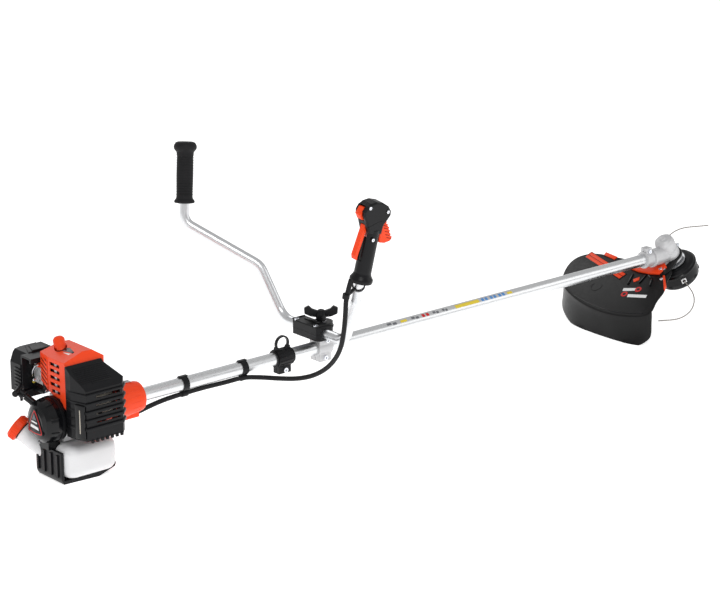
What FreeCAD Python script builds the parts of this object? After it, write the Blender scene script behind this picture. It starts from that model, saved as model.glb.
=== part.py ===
import FreeCAD, Part
import math
import os
from FreeCAD import Placement, Rotation, Vector

# A petrol brush cutter with a bull-horn handlebar, a bevel gear case and a line head.
# Machine frame: origin on the shaft axis at the clutch case's front face, +X towards the
# cutting head, +Y to the operator's left, +Z up. The last step leans the whole machine so
# that the stand's foot and the guard's lowest edge rest on the floor, z = 0.

# Driving dimensions, in millimetres and degrees
TUBE_R = 14.0
TUBE_WALL = 1.5
TUBE_START = -46.0
TUBE_END = 1470.0
SHAFT_R = 3.5
RUN_CLEAR = 0.05
BAR_R = 11.0
BAR_WALL = 2.0
BAR_SHIFT = -5.0
BAR_BASE = (451.0, 102.0, 44.0)
BAR_KNEE = (434.0, 160.0, 152.5)
BAR_ELBOW = (332.0, 291.0, 240.0)
BAR_TOP = (358.0, 314.0, 412.0)
BEND_R = 42.0
ELBOW_R = 30.0
KNOB_X = 474.5
KNOB_STEM_R = 4.0
HANGER_X = 368.0
CABLE_R = 5.0
BORE_R = 18.0
STROKE = 28.0
CYLINDER_X = -172.0
JOURNAL_R = 6.0
BALL_R = 14.0
APEX_X = 1538.0
HEAD_TILT = 30.0
PINION_TEETH = 15
GEAR_TEETH = 20
GEAR_MODULE = 1.7
OUTPUT_R = 7.0
HEAD_R = 52.0
LINE_R = 1.35
LINE_LEVEL = 54.0
LEAN = 1.85
FOOT = Vector(-176.0, -2.0, -125.0)

X = Vector(1, 0, 0)
Y = Vector(0, 1, 0)
Z = Vector(0, 0, 1)
ORIGIN = Vector(0, 0, 0)


# Basic solids

def rod(radius, start, end):
    """A round bar between two points."""
    start, end = Vector(*start), Vector(*end)
    return Part.makeCylinder(radius, (end - start).Length, start, end - start)


def ring(outer, inner, start, end):
    """A round bar with a bore right through it."""
    start, end = Vector(*start), Vector(*end)
    way = (end - start).normalize()
    return rod(outer, start, end).cut(rod(inner, start - way, end + way))


def block(low, high):
    """A box between two corners."""
    size = Vector(*high) - Vector(*low)
    return Part.makeBox(size.x, size.y, size.z, Vector(*low))


def slab(outline, thickness):
    """A flat plate: a closed outline of straight edges, pushed along the thickness."""
    points = [Vector(*point) for point in outline]
    wire = Part.makePolygon(points + [points[0]])
    return Part.Face(wire).extrude(Vector(*thickness))


def lathe(profile, base=(0, 0, 0), axis=(1, 0, 0)):
    """A solid of revolution from (distance along the axis, radius) pairs."""
    base, axis = Vector(*base), Vector(*axis).normalize()
    side = axis.cross(Z if abs(axis.z) < 0.9 else Y).normalize()
    ends = [(profile[0][0], 0.0)] + list(profile) + [(profile[-1][0], 0.0)]
    points = []
    for along, radius in ends:
        point = base + axis * along + side * radius
        if not points or (point - points[-1]).Length > 1e-6:
            points.append(point)
    wire = Part.makePolygon(points + [points[0]])
    return Part.Face(wire).revolve(base, axis, 360)


def join(shapes):
    """One solid from several that touch."""
    first, rest = shapes[0], list(shapes[1:])
    return first.fuse(rest).removeSplitter() if rest else first


def soften(shape, radius, keep):
    """Round the edges that a test picks out."""
    edges = [edge for edge in shape.Edges if keep(edge)]
    return shape.makeFillet(radius, edges)


def is_along(axis):
    """A test for straight edges parallel to an axis."""
    def test(edge):
        if edge.Curve.TypeId != "Part::GeomLine":
            return False
        way = edge.tangentAt(edge.FirstParameter)
        return abs(way.dot(axis)) > 0.999
    return test


def moved(shape, placement):
    """A copy of a shape, carried by a placement."""
    copy = shape.copy()
    copy.Placement = placement.multiply(copy.Placement)
    return copy


def bent_path(points, radii):
    """Straight runs through points, joined by tangent arcs of the given radii."""
    points = [Vector(*point) for point in points]
    edges = []
    start = points[0]
    for before, corner, after, radius in zip(points, points[1:], points[2:], radii):
        back = (before - corner).normalize()
        ahead = (after - corner).normalize()
        half = back.getAngle(ahead) / 2
        reach = radius / math.tan(half)
        first, last = corner + back * reach, corner + ahead * reach
        middle = (back + ahead).normalize()
        centre_gap = radius / math.sin(half)
        top = corner + middle * (centre_gap - radius)
        edges.append(Part.LineSegment(start, first).toShape())
        edges.append(Part.Arc(first, top, last).toShape())
        start = last
    edges.append(Part.LineSegment(start, points[-1]).toShape())
    return Part.Wire(edges)


def bent_rod(points, radii, radius):
    """A round bar swept along straight runs and tangent arcs."""
    path = bent_path(points, radii)
    start = Vector(*points[0])
    way = Vector(*points[1]) - start
    section = Part.Wire(Part.makeCircle(radius, start, way))
    return path.makePipeShell([section], True, True)


def cord_radii(points):
    """The largest tangent arcs that a cord's runs leave room for."""
    points = [Vector(*point) for point in points]
    radii = []
    for before, corner, after in zip(points, points[1:], points[2:]):
        turn = (corner - before).getAngle(after - corner)
        shorter = min((corner - before).Length, (after - corner).Length)
        radii.append(0.45 * shorter / math.tan(turn / 2))
    return radii


def cord(name, points, radius):
    """A cord's tube, with its bend radii and volume printed for checking."""
    radii = cord_radii(points)
    solid = bent_rod(points, radii, radius)
    expected = math.pi * radius ** 2 * bent_path(points, radii).Length
    print(name, "radii", [round(value, 1) for value in radii],
          "length", round(bent_path(points, radii).Length, 1),
          "volume ratio", round(solid.Volume / expected, 4))
    return solid


def screw(head_r, head_h, shank_r, shank_l, seat, way):
    """A hexagon-socket screw: seat is under its head, way points out of the hole."""
    seat, way = Vector(*seat), Vector(*way).normalize()
    head = rod(head_r, seat, seat + way * head_h)
    shank = rod(shank_r, seat - way * shank_l, seat + way * 0.5)
    side = way.cross(Z if abs(way.z) < 0.9 else Y).normalize()
    corners = [seat + way * (head_h * 0.4) + Rotation(way, 60 * k).multVec(side) * head_r * 0.55
               for k in range(6)]
    socket = slab(corners, way * head_h)
    return join([head, shank]).cut(socket)


# Frames of the sub-assemblies, in the machine frame

WORLD = Placement(ORIGIN, Rotation(Y, -LEAN)).multiply(Placement(-FOOT, Rotation()))
HEAD = Placement(Vector(APEX_X, 0, 0), Rotation(Y, -HEAD_TILT))


def bar_point(corner, side):
    """A corner of the handlebar's centre line, on the left (+1) or the right (-1)."""
    return Vector(corner[0], side * corner[1] + BAR_SHIFT, corner[2])


def grip_frame(side):
    """The frame of a handlebar end: x forward, z up along the bar from its elbow."""
    elbow, top = bar_point(BAR_ELBOW, side), bar_point(BAR_TOP, side)
    up = (top - elbow).normalize()
    left = up.cross(X).normalize()
    return Placement(elbow, Rotation(left.cross(up), left, up, "ZXY"))


RIGHT_GRIP = grip_frame(-1)
LEFT_GRIP = grip_frame(1)


def head_point(back, left, depth):
    """A point in the cutting head's frame, from distances back, left and down its axis."""
    return Vector(-back, left, -depth)


# Screws of the fixed parts, cut out of everything that they hold

MACHINE_SCREWS = (
    (4.5, 4.0, 2.5, 14.0, (474.0, -20.0, 18.0), -Y),
    (5.0, 4.0, 2.5, 14.0, (472.0, -16.0, -20.0), -Y),
    (5.5, 4.5, 2.5, 20.0, (368.0, -9.5, -26.0), -Y),
    (3.8, 3.0, 2.0, 8.0, (-196.6, 32.0, 46.0), (-1, 0.25, 0)),
    (4.5, 4.0, 2.5, 18.0, (1461.0, -9.5, 21.0), -Y),
)
HEAD_SCREWS = (
    (4.2, 3.0, 2.5, 9.0, (-48.0, -22.0, -5.0), Z),
    (4.2, 3.0, 2.5, 9.0, (-48.0, 26.0, -5.0), Z),
    (5.0, 5.0, 3.0, 7.0, (24.2, -8.0, 6.0), X),
)


def machine_screws():
    """Bracket, hanger, cover, clamp and guard screws, as separate solids."""
    fixed = [screw(*spec) for spec in MACHINE_SCREWS]
    tilted = [moved(screw(*spec), HEAD) for spec in HEAD_SCREWS]
    return Part.makeCompound(fixed + tilted)


def clear_of_screws(shape):
    """Holes for the fixed parts' screws."""
    return shape.cut(list(machine_screws().Solids))


# Drive tube and what is clamped on it

def main_tube():
    return ring(TUBE_R, TUBE_R - TUBE_WALL, (TUBE_START, 0, 0), (TUBE_END, 0, 0))


def drive_shaft():
    return rod(SHAFT_R, (-80, 0, 0), (1500, 0, 0))


def shaft_bearings():
    """Crank, clutch and gear case bearings, and the tube's five bushings."""
    running = JOURNAL_R + RUN_CLEAR
    rings = [ring(BALL_R, running, (start, 0, 0), (start + 8, 0, 0))
             for start in (-197, -155, -74, -60, 1471)]
    rings += [ring(TUBE_R - TUBE_WALL, SHAFT_R + RUN_CLEAR, (start, 0, 0), (start + 20, 0, 0))
              for start in (50, 350, 690, 1040, 1380)]
    rings.append(moved(ring(16, OUTPUT_R + RUN_CLEAR, (0, 0, -15), (0, 0, -5)), HEAD))
    rings.append(moved(ring(11, 5 + RUN_CLEAR, (0, 0, 36), (0, 0, 44)), HEAD))
    return Part.makeCompound(rings)


CLIP_PLACES = (110.0, 262.0)
CLIP_CABLE = (-3.0, -20.0)


def cable_clips():
    """Two straps round the tube, each with a loop for the control cable under it."""
    clips = []
    side, low = CLIP_CABLE
    cable = cable_envelope(0.0)
    for place in CLIP_PLACES:
        ends = ((place - 7, 0, 0), (place + 7, 0, 0))
        loop = ((place - 7, side, low), (place + 7, side, low))
        outer = join([rod(TUBE_R + 2, *ends), rod(CABLE_R + 2, *loop),
                      block((place - 10, -4, TUBE_R + 0.5), (place + 10, 4, TUBE_R + 3))])
        tube = rod(TUBE_R, (place - 11, 0, 0), (place + 11, 0, 0))
        clips.append(outer.cut([tube, cable]))
    return Part.makeCompound(clips)


EYE_R = 14.0
EYE_LIFT = 30.0


def hanger_clamp():
    """The harness hanger: a split band with a round eye on top."""
    x = HANGER_X
    band = join([rod(19, (x - 20, 0, 0), (x + 20, 0, 0)),
                 rod(17, (x - 23, 0, 0), (x + 23, 0, 0)),
                 block((x - 16, -9.5, -33), (x + 16, 9.5, -14)),
                 block((x - 18, -5, 10), (x + 18, 5, 24)),
                 ring(EYE_R + 3.5, EYE_R, (x, -3, EYE_LIFT), (x, 3, EYE_LIFT))])
    band = band.cut([rod(EYE_R, (x, -20, EYE_LIFT), (x, 20, EYE_LIFT)),
                     rod(TUBE_R, (x - 30, 0, 0), (x + 30, 0, 0)),
                     block((x - 30, -0.8, -40), (x + 30, 0.8, -10))])
    return clear_of_screws(band)


def bracket_casting():
    """The cast foot that carries the handlebar mount on the tube."""
    x = KNOB_X
    body = join([rod(19, (x - 19, 0, 0), (x + 17, 0, 0)),
                 block((x - 17, -16, -28), (x + 13, 16, 0)),
                 block((x - 18, -17, 0), (x + 20, 17, 22)),
                 rod(21, (x, 0, 19), (x, 0, 30))])
    body = body.cut([rod(TUBE_R, (x - 30, 0, 0), (x + 30, 0, 0)),
                     block((x - 30, -0.8, -30), (x + 30, 0.8, -10)),
                     rod(KNOB_STEM_R + RUN_CLEAR, (x, 0, 4), (x, 0, 31))])
    return clear_of_screws(body)


# Handlebar and its mount

MOUNT_LOW = 30.0
MOUNT_MID = 44.0
MOUNT_TOP = 61.0
MOUNT_BACK = 429.0
MOUNT_HALF = 46.0


def bar_line(top_reach=(150.0, 168.0)):
    """The handlebar's centre line from its right end to its left end."""
    right = RIGHT_GRIP.multVec(Vector(0, 0, top_reach[0]))
    left = LEFT_GRIP.multVec(Vector(0, 0, top_reach[1]))
    corners = [bar_point(c, -1) for c in (BAR_ELBOW, BAR_KNEE, BAR_BASE)]
    corners += [bar_point(c, 1) for c in (BAR_BASE, BAR_KNEE, BAR_ELBOW)]
    return [right] + corners + [left]


BAR_BENDS = (ELBOW_R, BEND_R, BEND_R, BEND_R, BEND_R, ELBOW_R)


def handlebar():
    outside = bent_rod(bar_line(), BAR_BENDS, BAR_R)
    inside = bent_rod(bar_line((151.0, 169.0)), BAR_BENDS, BAR_R - BAR_WALL)
    return outside.cut(inside)


MOUNT_SCREWS = (
    (5.5, 4.0, 3.0, 26.0, (MOUNT_BACK + 7, 34.0, MOUNT_TOP - 2.5), Z),
    (5.5, 4.0, 3.0, 26.0, (MOUNT_BACK + 7, -30.0, MOUNT_TOP - 2.5), Z),
)


def mount_outline(z, low_y, high_y, front):
    """The handlebar mount's plan: a bar with clipped corners."""
    back, cut = MOUNT_BACK, 7.0
    return [(back + cut, low_y, z), (front, low_y, z), (front, high_y, z), (back + cut, high_y, z),
            (back, high_y - cut, z), (back, low_y + cut, z)]


def bar_bore():
    """The room that the handlebar takes in its mount."""
    ends = [Vector(BAR_BASE[0], y, BAR_BASE[2]) for y in (-62.0, 62.0)]
    return rod(BAR_R, *ends)


def mount_lower():
    """The lower half of the handlebar mount, with the round pad under the knob."""
    plate = slab(mount_outline(MOUNT_LOW, -MOUNT_HALF, MOUNT_HALF, 466.0), (0, 0, 14))
    pad = rod(22, (KNOB_X + 4, 0, MOUNT_LOW), (KNOB_X + 4, 0, 56))
    body = join([plate, pad])
    cap_room = block((420, -60, MOUNT_MID), (467.2, 60, 70))
    stem = rod(KNOB_STEM_R + RUN_CLEAR, (KNOB_X, 0, 20), (KNOB_X, 0, 70))
    return body.cut([cap_room, bar_bore(), stem] + mount_screw_solids())


def mount_cap():
    """The upper half of the handlebar mount."""
    plate = slab(mount_outline(MOUNT_MID + 0.4, -MOUNT_HALF, MOUNT_HALF, 466.0), (0, 0, 17))
    plate = soften(plate, 3.0, lambda edge: edge.BoundBox.ZMin > MOUNT_TOP)
    room = rod(14.0, (KNOB_X, 0, 40), (KNOB_X, 0, 80))
    seats = [rod(7.0, (s[4][0], s[4][1], s[4][2]), (s[4][0], s[4][1], 80)) for s in MOUNT_SCREWS]
    return plate.cut([bar_bore(), room] + seats + mount_screw_solids())


def mount_screw_solids():
    return [screw(*spec) for spec in MOUNT_SCREWS]


def clamp_washer():
    """The loose washer that rides up and down with the clamp knob."""
    return ring(11, KNOB_STEM_R + RUN_CLEAR, (KNOB_X, 0, 56), (KNOB_X, 0, 58))


WING_TURN = -40.0


def clamp_knob():
    """A wing knob with its screw, which clamps the handlebar mount on the bracket."""
    hub = lathe([(58, 8), (60, 11), (72, 11), (80, 8), (82, 6)], (KNOB_X, 0, 0), (0, 0, 1))
    screw_end = rod(KNOB_STEM_R, (KNOB_X, 0, 22), (KNOB_X, 0, 60))
    outline = [(-8, 0, 66), (-22, 0, 68), (-35, 0, 74), (-36, 0, 86), (-26, 0, 91), (-19, 0, 84),
               (-8, 0, 80), (8, 0, 80), (19, 0, 84), (26, 0, 91), (36, 0, 86), (35, 0, 74),
               (22, 0, 68), (8, 0, 66)]
    wings = slab([(x, y - 4, z) for x, y, z in outline], (0, 8, 0))
    wings = soften(wings, 2.5, is_along(Y))
    turn = Placement(Vector(KNOB_X, 0, 0), Rotation(Z, WING_TURN))
    return join([hub, screw_end, moved(wings, turn)])


def left_grip():
    profile = [(40, 15), (41, 21), (44, 22.5), (47, 21), (51, 18), (60, 17), (100, 18), (140, 17.5),
               (150, 19), (156, 24), (161, 25), (165, 24), (170, 21), (172, 16)]
    grip = lathe(profile, (0, 0, 0), (0, 0, 1))
    grip = grip.cut(rod(BAR_R, (0, 0, 30), (0, 0, 168)))
    return moved(grip, LEFT_GRIP)


# Throttle handle, in the right grip's frame: x forward, y inward, z up

HANDLE_LEAN = 4.0
HANDLE_HALF = 15.5
HEAD_OUTLINE = ((-13, 104), (-26, 130), (-35, 142), (-37, 151), (-32, 161), (-22, 168), (-8, 171.5),
                (10, 169), (25, 162), (34, 152), (35, 143), (29, 133), (21, 122), (20, 104))
TRIGGER_PIVOT = (27.0, 128.0)
LOCKOUT_PIVOT = (-17.5, 119.0)
SWITCH_PIVOT = (-30.0, 146.0)
HANDLE_SCREWS = ((-25.0, 160.0), (24.0, 151.0), (-3.0, 94.0), (14.0, 6.0))


def in_plane(outline, y):
    """An outline of (x, z) pairs in the handle's middle plane, moved sideways to y."""
    return [(x, y, z) for x, z in outline]


def handle_outside():
    barrel = lathe([(0, 20), (2, 23), (9, 23), (15, 19), (20, 17.5), (112, 17)],
                   (HANDLE_LEAN, 0, 0), (0, 0, 1))
    head = slab(in_plane(HEAD_OUTLINE, -HANDLE_HALF), (0, 2 * HANDLE_HALF, 0))
    head = soften(head, 4.0, lambda edge: not is_along(Y)(edge))
    return join([barrel, head])


def handle_rooms():
    """Everything that is hollow in the throttle handle."""
    middle = Vector(0, 0, 140)
    pins = [pivot_pin(pivot, 12.5, RUN_CLEAR)
            for pivot in (TRIGGER_PIVOT, LOCKOUT_PIVOT, SWITCH_PIVOT)]
    scaled = [((x - middle.x) * 0.9 + middle.x, (z - middle.z) * 0.9 + middle.z)
              for x, z in HEAD_OUTLINE]
    chamber = slab(in_plane(scaled, -12.8), (0, 25.6, 0))
    return [chamber,
            moved(bent_rod(bar_line(), BAR_BENDS, BAR_R), RIGHT_GRIP.inverse()),
            moved(cable_envelope(CABLE_GAP), RIGHT_GRIP.inverse()),
            block((12, -7.6, 78), (60, 7.6, 136)),
            block((-45, -6.6, 46), (-9, 6.6, 124)),
            block((-60, -7.6, 130), (-25, 7.6, 162))] + pins


def throttle_housing():
    """The two halves of the throttle handle, split along the handle's middle plane."""
    whole = handle_outside().cut(handle_rooms() + handle_screw_solids())
    halves = []
    for low, high in ((-60, 0), (0, 60)):
        half = whole.common(block((-80, low, -5), (80, high, 200)))
        halves.append(max(half.Solids, key=lambda solid: solid.Volume))
    return moved(Part.makeCompound(halves), RIGHT_GRIP)


def handle_screw_solids():
    return [screw(3.4, 2.0, 1.6, 2.6, (x, -HANDLE_HALF + 0.5 if z > 100 else -17.0, z), -Y)
            for x, z in HANDLE_SCREWS]


def handle_screws():
    """The throttle handle's screws and the handlebar mount's bolts."""
    small = [moved(solid, RIGHT_GRIP) for solid in handle_screw_solids()]
    return Part.makeCompound(small + mount_screw_solids())


def pivot_pin(pivot, reach, gap=0.0):
    """A hinge pin across the throttle handle, or the hole for it when the gap is more than zero."""
    reach += gap
    return rod(2.5 + gap, (pivot[0], -reach, pivot[1]), (pivot[0], reach, pivot[1]))


def throttle_trigger():
    outline = [(22, 132), (31, 132), (34, 124), (42, 116), (47, 106), (51, 99), (57, 91), (52, 86),
               (39, 82.5), (25, 84), (23, 98), (21, 112)]
    body = slab(in_plane(outline, -7), (0, 14, 0))
    body = soften(body, 1.5, is_along(Y))
    return moved(join([body, pivot_pin(TRIGGER_PIVOT, 12.5)]), RIGHT_GRIP)


def lockout_lever():
    outline = [(-21, 122), (-31, 58), (-28, 50), (-24, 49), (-23.5, 60), (-14.5, 114), (-14, 122)]
    body = slab(in_plane(outline, -6), (0, 12, 0))
    return moved(join([body, pivot_pin(LOCKOUT_PIVOT, 12.5)]), RIGHT_GRIP)


def stop_switch():
    outline = [(-28, 133), (-34, 134), (-38, 140), (-42, 145), (-39, 150), (-35, 159), (-28, 159),
               (-26, 146)]
    body = slab(in_plane(outline, -7), (0, 14, 0))
    return moved(join([body, pivot_pin(SWITCH_PIVOT, 12.5)]), RIGHT_GRIP)


# Control cable: from the throttle handle's foot to the clutch case, with its bar clip

CABLE_EXIT = (-16.0, 7.0, 3.0)
CABLE_ROUTE = ((309.0, -283.0, 212.0), (312.0, -277.0, 172.0), (316.0, -267.0, 133.0),
               (324.0, -249.0, 95.0), (333.0, -220.0, 60.0), (338.0, -184.0, 28.0),
               (336.0, -144.0, 3.0), (327.0, -104.0, -12.0), (313.0, -63.0, -19.0),
               (291.0, -27.0, -20.5), (262.0, -3.0, -20.0), (216.0, -3.4, -20.6),
               (163.0, -2.6, -19.4), (110.0, -3.0, -20.0), (62.0, -3.4, -22.0),
               (28.0, -3.0, -26.5), (-12.0, -3.0, -34.0))


def cable_points():
    """The control cable's route, from inside the handle's foot to the clutch case."""
    return [RIGHT_GRIP.multVec(Vector(*CABLE_EXIT))] + [Vector(*p) for p in CABLE_ROUTE]


def control_cable():
    return cord("control_cable", cable_points(), CABLE_R)


CLIP_AT = Vector(*CABLE_ROUTE[0])


def bar_cable_clip():
    """The clip that holds the control cable beside the bar, below the throttle handle."""
    elbow, knee = bar_point(BAR_ELBOW, -1), bar_point(BAR_KNEE, -1)
    way = (knee - elbow).normalize()
    middle = elbow + way * 36
    cable = cable_points()
    along = (cable[1] - cable[0]).normalize() + (cable[2] - cable[1]).normalize()
    along.normalize()
    band = rod(BAR_R + 2.5, middle - way * 5, middle + way * 5)
    loop = rod(CABLE_R + 2.5, CLIP_AT - along * 5, CLIP_AT + along * 5)
    arm = rod(4, middle, CLIP_AT)
    shape = join([band, loop, arm])
    return shape.cut([bent_rod(bar_line(), BAR_BENDS, BAR_R), cable_envelope(CABLE_GAP)])


CABLE_GAP = 0.4


def cable_envelope(gap):
    """The room that the control cable takes, grown by a gap."""
    points = cable_points()
    return bent_rod(points, cord_radii(points), CABLE_R + gap)


# Clutch

def clutch_case():
    """The orange case of fan and clutch, with the sleeve that holds the tube."""
    outside = lathe([(-144, 44), (-108, 44), (-100, 40), (-56, 37), (-8, 31.5), (-2, 30), (0, 26)])
    lug = block((-62, -11, -42), (-8, 9, -20))
    lug = soften(lug, 5.0, is_along(X))
    body = join([outside, lug])
    body = body.cut([rod(41, (-145, 0, 0), (-112, 0, 0)),
                     rod(31, (-113, 0, 0), (-80, 0, 0)),
                     rod(TUBE_R, (-80, 0, 0), (1, 0, 0)),
                     block((-150, -30, 30), (-118, 30, 60))])
    return body.cut(cable_envelope(0.0))


def clutch_drum():
    """The clutch drum with the hub that drives the shaft."""
    cup = rod(28, (-108, 0, 0), (-84, 0, 0)).cut(rod(25.5, (-109, 0, 0), (-88, 0, 0)))
    hub = rod(JOURNAL_R, (-84, 0, 0), (-48, 0, 0))
    return join([cup, hub]).cut(rod(SHAFT_R, (-80, 0, 0), (-47, 0, 0)))


def clutch_shoes():
    """Two swinging shoes on the crankshaft's nose."""
    shoes = []
    for start in (15.0, 195.0):
        shoe = Part.makeCylinder(24, 14, Vector(-106, 0, 0), X, 150)
        shoe = shoe.cut(rod(9, (-107, 0, 0), (-91, 0, 0)))
        shoe.rotate(ORIGIN, X, start)
        shoes.append(shoe)
    return Part.makeCompound(shoes)


# Engine

DECK = 38.0


def crankcase():
    x = CYLINDER_X
    body = join([rod(34, (-200, 0, 0), (-144, 0, 0)),
                 rod(44, (-147, 0, 0), (-144, 0, 0)),
                 block((x - 24, -26, 0), (x + 24, 26, DECK)),
                 block((-196, -20, -46), (-152, 20, -28))])
    rooms = [rod(29.5, (-189, 0, 0), (-155, 0, 0)),
             rod(BORE_R + 1, (x, 0, 0), (x, 0, DECK + 1)),
             rod(BALL_R, (-197, 0, 0), (-188, 0, 0)),
             rod(BALL_R, (-155.5, 0, 0), (-147, 0, 0)),
             rod(8, (-201, 0, 0), (-143, 0, 0))]
    return body.cut(rooms)


PLUG_BASE = Vector(CYLINDER_X, 2, 101.5)
PLUG_WAY = Vector(0.22, 0.66, 0.72).normalize()
FIN_COUNT = 8
FIN_PITCH = 7.0
INTAKE_Z = 69.0
EXHAUST_Z = 71.0


def cylinder():
    x = CYLINDER_X
    parts = [rod(24, (x, 0, DECK), (x, 0, 110)),
             block((x - 24, -25, DECK), (x + 24, 25, DECK + 6)),
             block((x - 13, 0, 57), (x + 13, 34, 81)),
             block((x - 14, -34, 59), (x + 14, 0, 83))]
    for count in range(FIN_COUNT):
        low = 49 + FIN_PITCH * count
        parts.append(block((x - 18, -32, low), (x + 24, 32, low + 2.4)))
    body = join(parts)
    return body.cut([rod(BORE_R + 0.02, (x, 0, DECK - 1), (x, 0, 101)),
                     rod(8, (x, 10, INTAKE_Z), (x, 40, INTAKE_Z)),
                     rod(8, (x, -40, EXHAUST_Z), (x, -10, EXHAUST_Z)),
                     rod(8.2, PLUG_BASE + PLUG_WAY * 14, PLUG_BASE + PLUG_WAY * 60),
                     rod(5, PLUG_BASE - PLUG_WAY * 6, PLUG_BASE + PLUG_WAY * 20)])


def piston():
    x = CYLINDER_X
    body = rod(BORE_R, (x, 0, 66), (x, 0, 96)).cut(rod(15.5, (x, 0, 65), (x, 0, 90)))
    grooves = [ring(BORE_R + 1, BORE_R - 1.2, (x, 0, z), (x, 0, z + 1.5)) for z in (88.0, 91.5)]
    pin = ring(4.5, 2.5, (x, -15.4, 76), (x, 15.4, 76))
    holes = rod(4.5, (x, -20, 76), (x, 20, 76))
    return Part.makeCompound([body.cut(grooves + [holes]), pin])


def crankshaft():
    """Two webs and a pin, with the journals, the starter cup and the clutch nose."""
    x, throw = CYLINDER_X, STROKE / 2
    webs = []
    for low, high in ((x - 15, x - 7), (x + 7, x + 15)):
        disc = rod(27.5, (low, 0, 0), (high, 0, 0))
        waste = [block((low - 1, side * 20 - 10, 0), (high + 1, side * 20 + 10, 30))
                 for side in (-1, 1)]
        webs.append(disc.cut(waste))
    pin = rod(5.5, (x - 8, 0, throw), (x + 8, 0, throw))
    tail = rod(JOURNAL_R, (-213, 0, 0), (x - 14, 0, 0))
    nose = rod(JOURNAL_R, (x + 14, 0, 0), (-91, 0, 0))
    cup = rod(20, (-213, 0, 0), (-207, 0, 0)).cut(rod(16, (-214, 0, 0), (-210, 0, 0)))
    return join(webs + [pin, tail, nose, cup])


def flywheel_fan():
    """The flywheel with its fan blades and the carrier of the clutch shoes."""
    parts = [rod(39, (-142, 0, 0), (-137, 0, 0)), rod(14, (-142, 0, 0), (-118, 0, 0)),
             rod(12, (-120, 0, 0), (-106, 0, 0))]
    for count in range(12):
        blade = block((-138, -1, 12), (-118, 1, 38))
        blade.rotate(ORIGIN, X, 30 * count)
        parts.append(blade)
    return join(parts).cut(rod(JOURNAL_R, (-150, 0, 0), (-100, 0, 0)))


COVER_PLAN = ((-200, -41), (-200, 20), (-195, 53.5), (-112, 50), (-104, 40), (-104, -34), (-110, -41))
COVER_SLOTS = ((37, -20, -8), (51, -20, 10), (65, -20, 14), (79, -20, 14), (93, -20, 14), (106, -20, 14))


def grown(outline, gap):
    """An outline moved towards its middle by a gap (outwards if the gap is negative)."""
    count = len(outline)
    middle = [sum(point[axis] for point in outline) / count for axis in (0, 1)]
    result = []
    for point in outline:
        offset = Vector(point[0] - middle[0], point[1] - middle[1], 0)
        scale = (offset.Length - gap) / offset.Length
        result.append((middle[0] + offset.x * scale, middle[1] + offset.y * scale))
    return result


def cover_body(gap):
    """The engine cover's outer form, or its inner form when the gap is more than zero."""
    plan = grown(COVER_PLAN, gap)
    body = slab([(x, y, 24) for x, y in plan], (0, 0, 140))
    roof = [(-210, 0, 119 - gap), (-150, 0, 134 - gap), (-128, 0, 133 - gap), (-104, 0, 117 - gap),
            (-80, 0, 92 - gap),
            (-80, 0, 220), (-210, 0, 220)]
    side = [(0, -60, 84 - gap), (0, -28, 136 - gap), (0, -28, 220), (0, -60, 220)]
    return body.cut([slab([(x, -90, z) for x, _, z in roof], (0, 200, 0)),
                     slab([(-230, y, z) for _, y, z in side], (160, 0, 0))])


def engine_cover():
    """The cover over the cylinder: slotted rear face, sloping roof, open below."""
    shell = cover_body(0).cut(cover_body(2.6))
    low_edge = [(-230, -60, 20), (-230, -60, 26), (-230, -38, 31), (-230, 52, 62), (-230, 60, 62),
                (-230, 60, 20)]
    cuts = [slab(low_edge, (160, 0, 0)),
            block((-150, -60, 10), (-90, 70, 48)),
            block((-186, -50, 10), (-150, -30, 90)),
            block((-191, 40, 10), (-150, 60, 90)),
            rod(13, PLUG_BASE + PLUG_WAY * 26, PLUG_BASE + PLUG_WAY * 80)]
    cuts += [block((-203, right, low), (-196, left, low + 7)) for low, right, left in COVER_SLOTS]
    body = shell.cut(cuts)
    return clear_of_screws(max(body.Solids, key=lambda solid: solid.Volume))


def spark_plug():
    way = PLUG_WAY
    return lathe([(-1, 5), (14, 5), (14, 8), (20, 8), (20, 4), (34, 4), (36, 2.5)], PLUG_BASE, way)


def spark_plug_cap():
    """The rubber cap on the plug."""
    cap = lathe([(24, 8), (36, 9), (44, 12), (58, 12), (62, 9)], PLUG_BASE, PLUG_WAY)
    return cap.cut(lathe([(23, 4), (34, 4), (36, 2.5)], PLUG_BASE, PLUG_WAY))


def muffler():
    """The exhaust box with its flange on the cylinder."""
    x = CYLINDER_X
    box = block((-190, -83, 4), (-120, -46, 80))
    box = soften(box, 8.0, is_along(Y))
    flange = rod(12, (x, -46, EXHAUST_Z), (x, -34, EXHAUST_Z))
    inner = block((-188, -81, 6), (-122, -48, 78))
    inner = soften(inner, 7.0, is_along(Y))
    port = rod(7, (x, -50, EXHAUST_Z), (x, -33, EXHAUST_Z))
    outlet = rod(5, (-150, -90, 20), (-150, -80, 20))
    return join([box, flange]).cut([inner, port, outlet])


def muffler_body(gap):
    """The muffler cover's outer form, or its inner form when the gap is more than zero."""
    plan = [(-203 + gap, -40), (-203 + gap, -60), (-192 + gap, -97 + gap), (-106 - gap, -97 + gap),
            (-94 - gap, -84), (-94 - gap, -40)]
    body = slab([(x, y, -26 + gap) for x, y in plan], (0, 0, 160))
    roof = [(-230, -110, 62 - gap), (-230, -92, 82 - gap), (-230, -45, 117 - gap),
            (-230, -30, 117 - gap), (-230, -30, 180), (-230, -110, 180)]
    front = [(-118, -120, 112 - gap), (-90, -120, 78 - gap), (-70, -120, 78), (-70, -120, 160),
             (-118, -120, 160)]
    return body.cut([slab(roof, (160, 0, 0)), slab(front, (0, 100, 0))])


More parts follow.
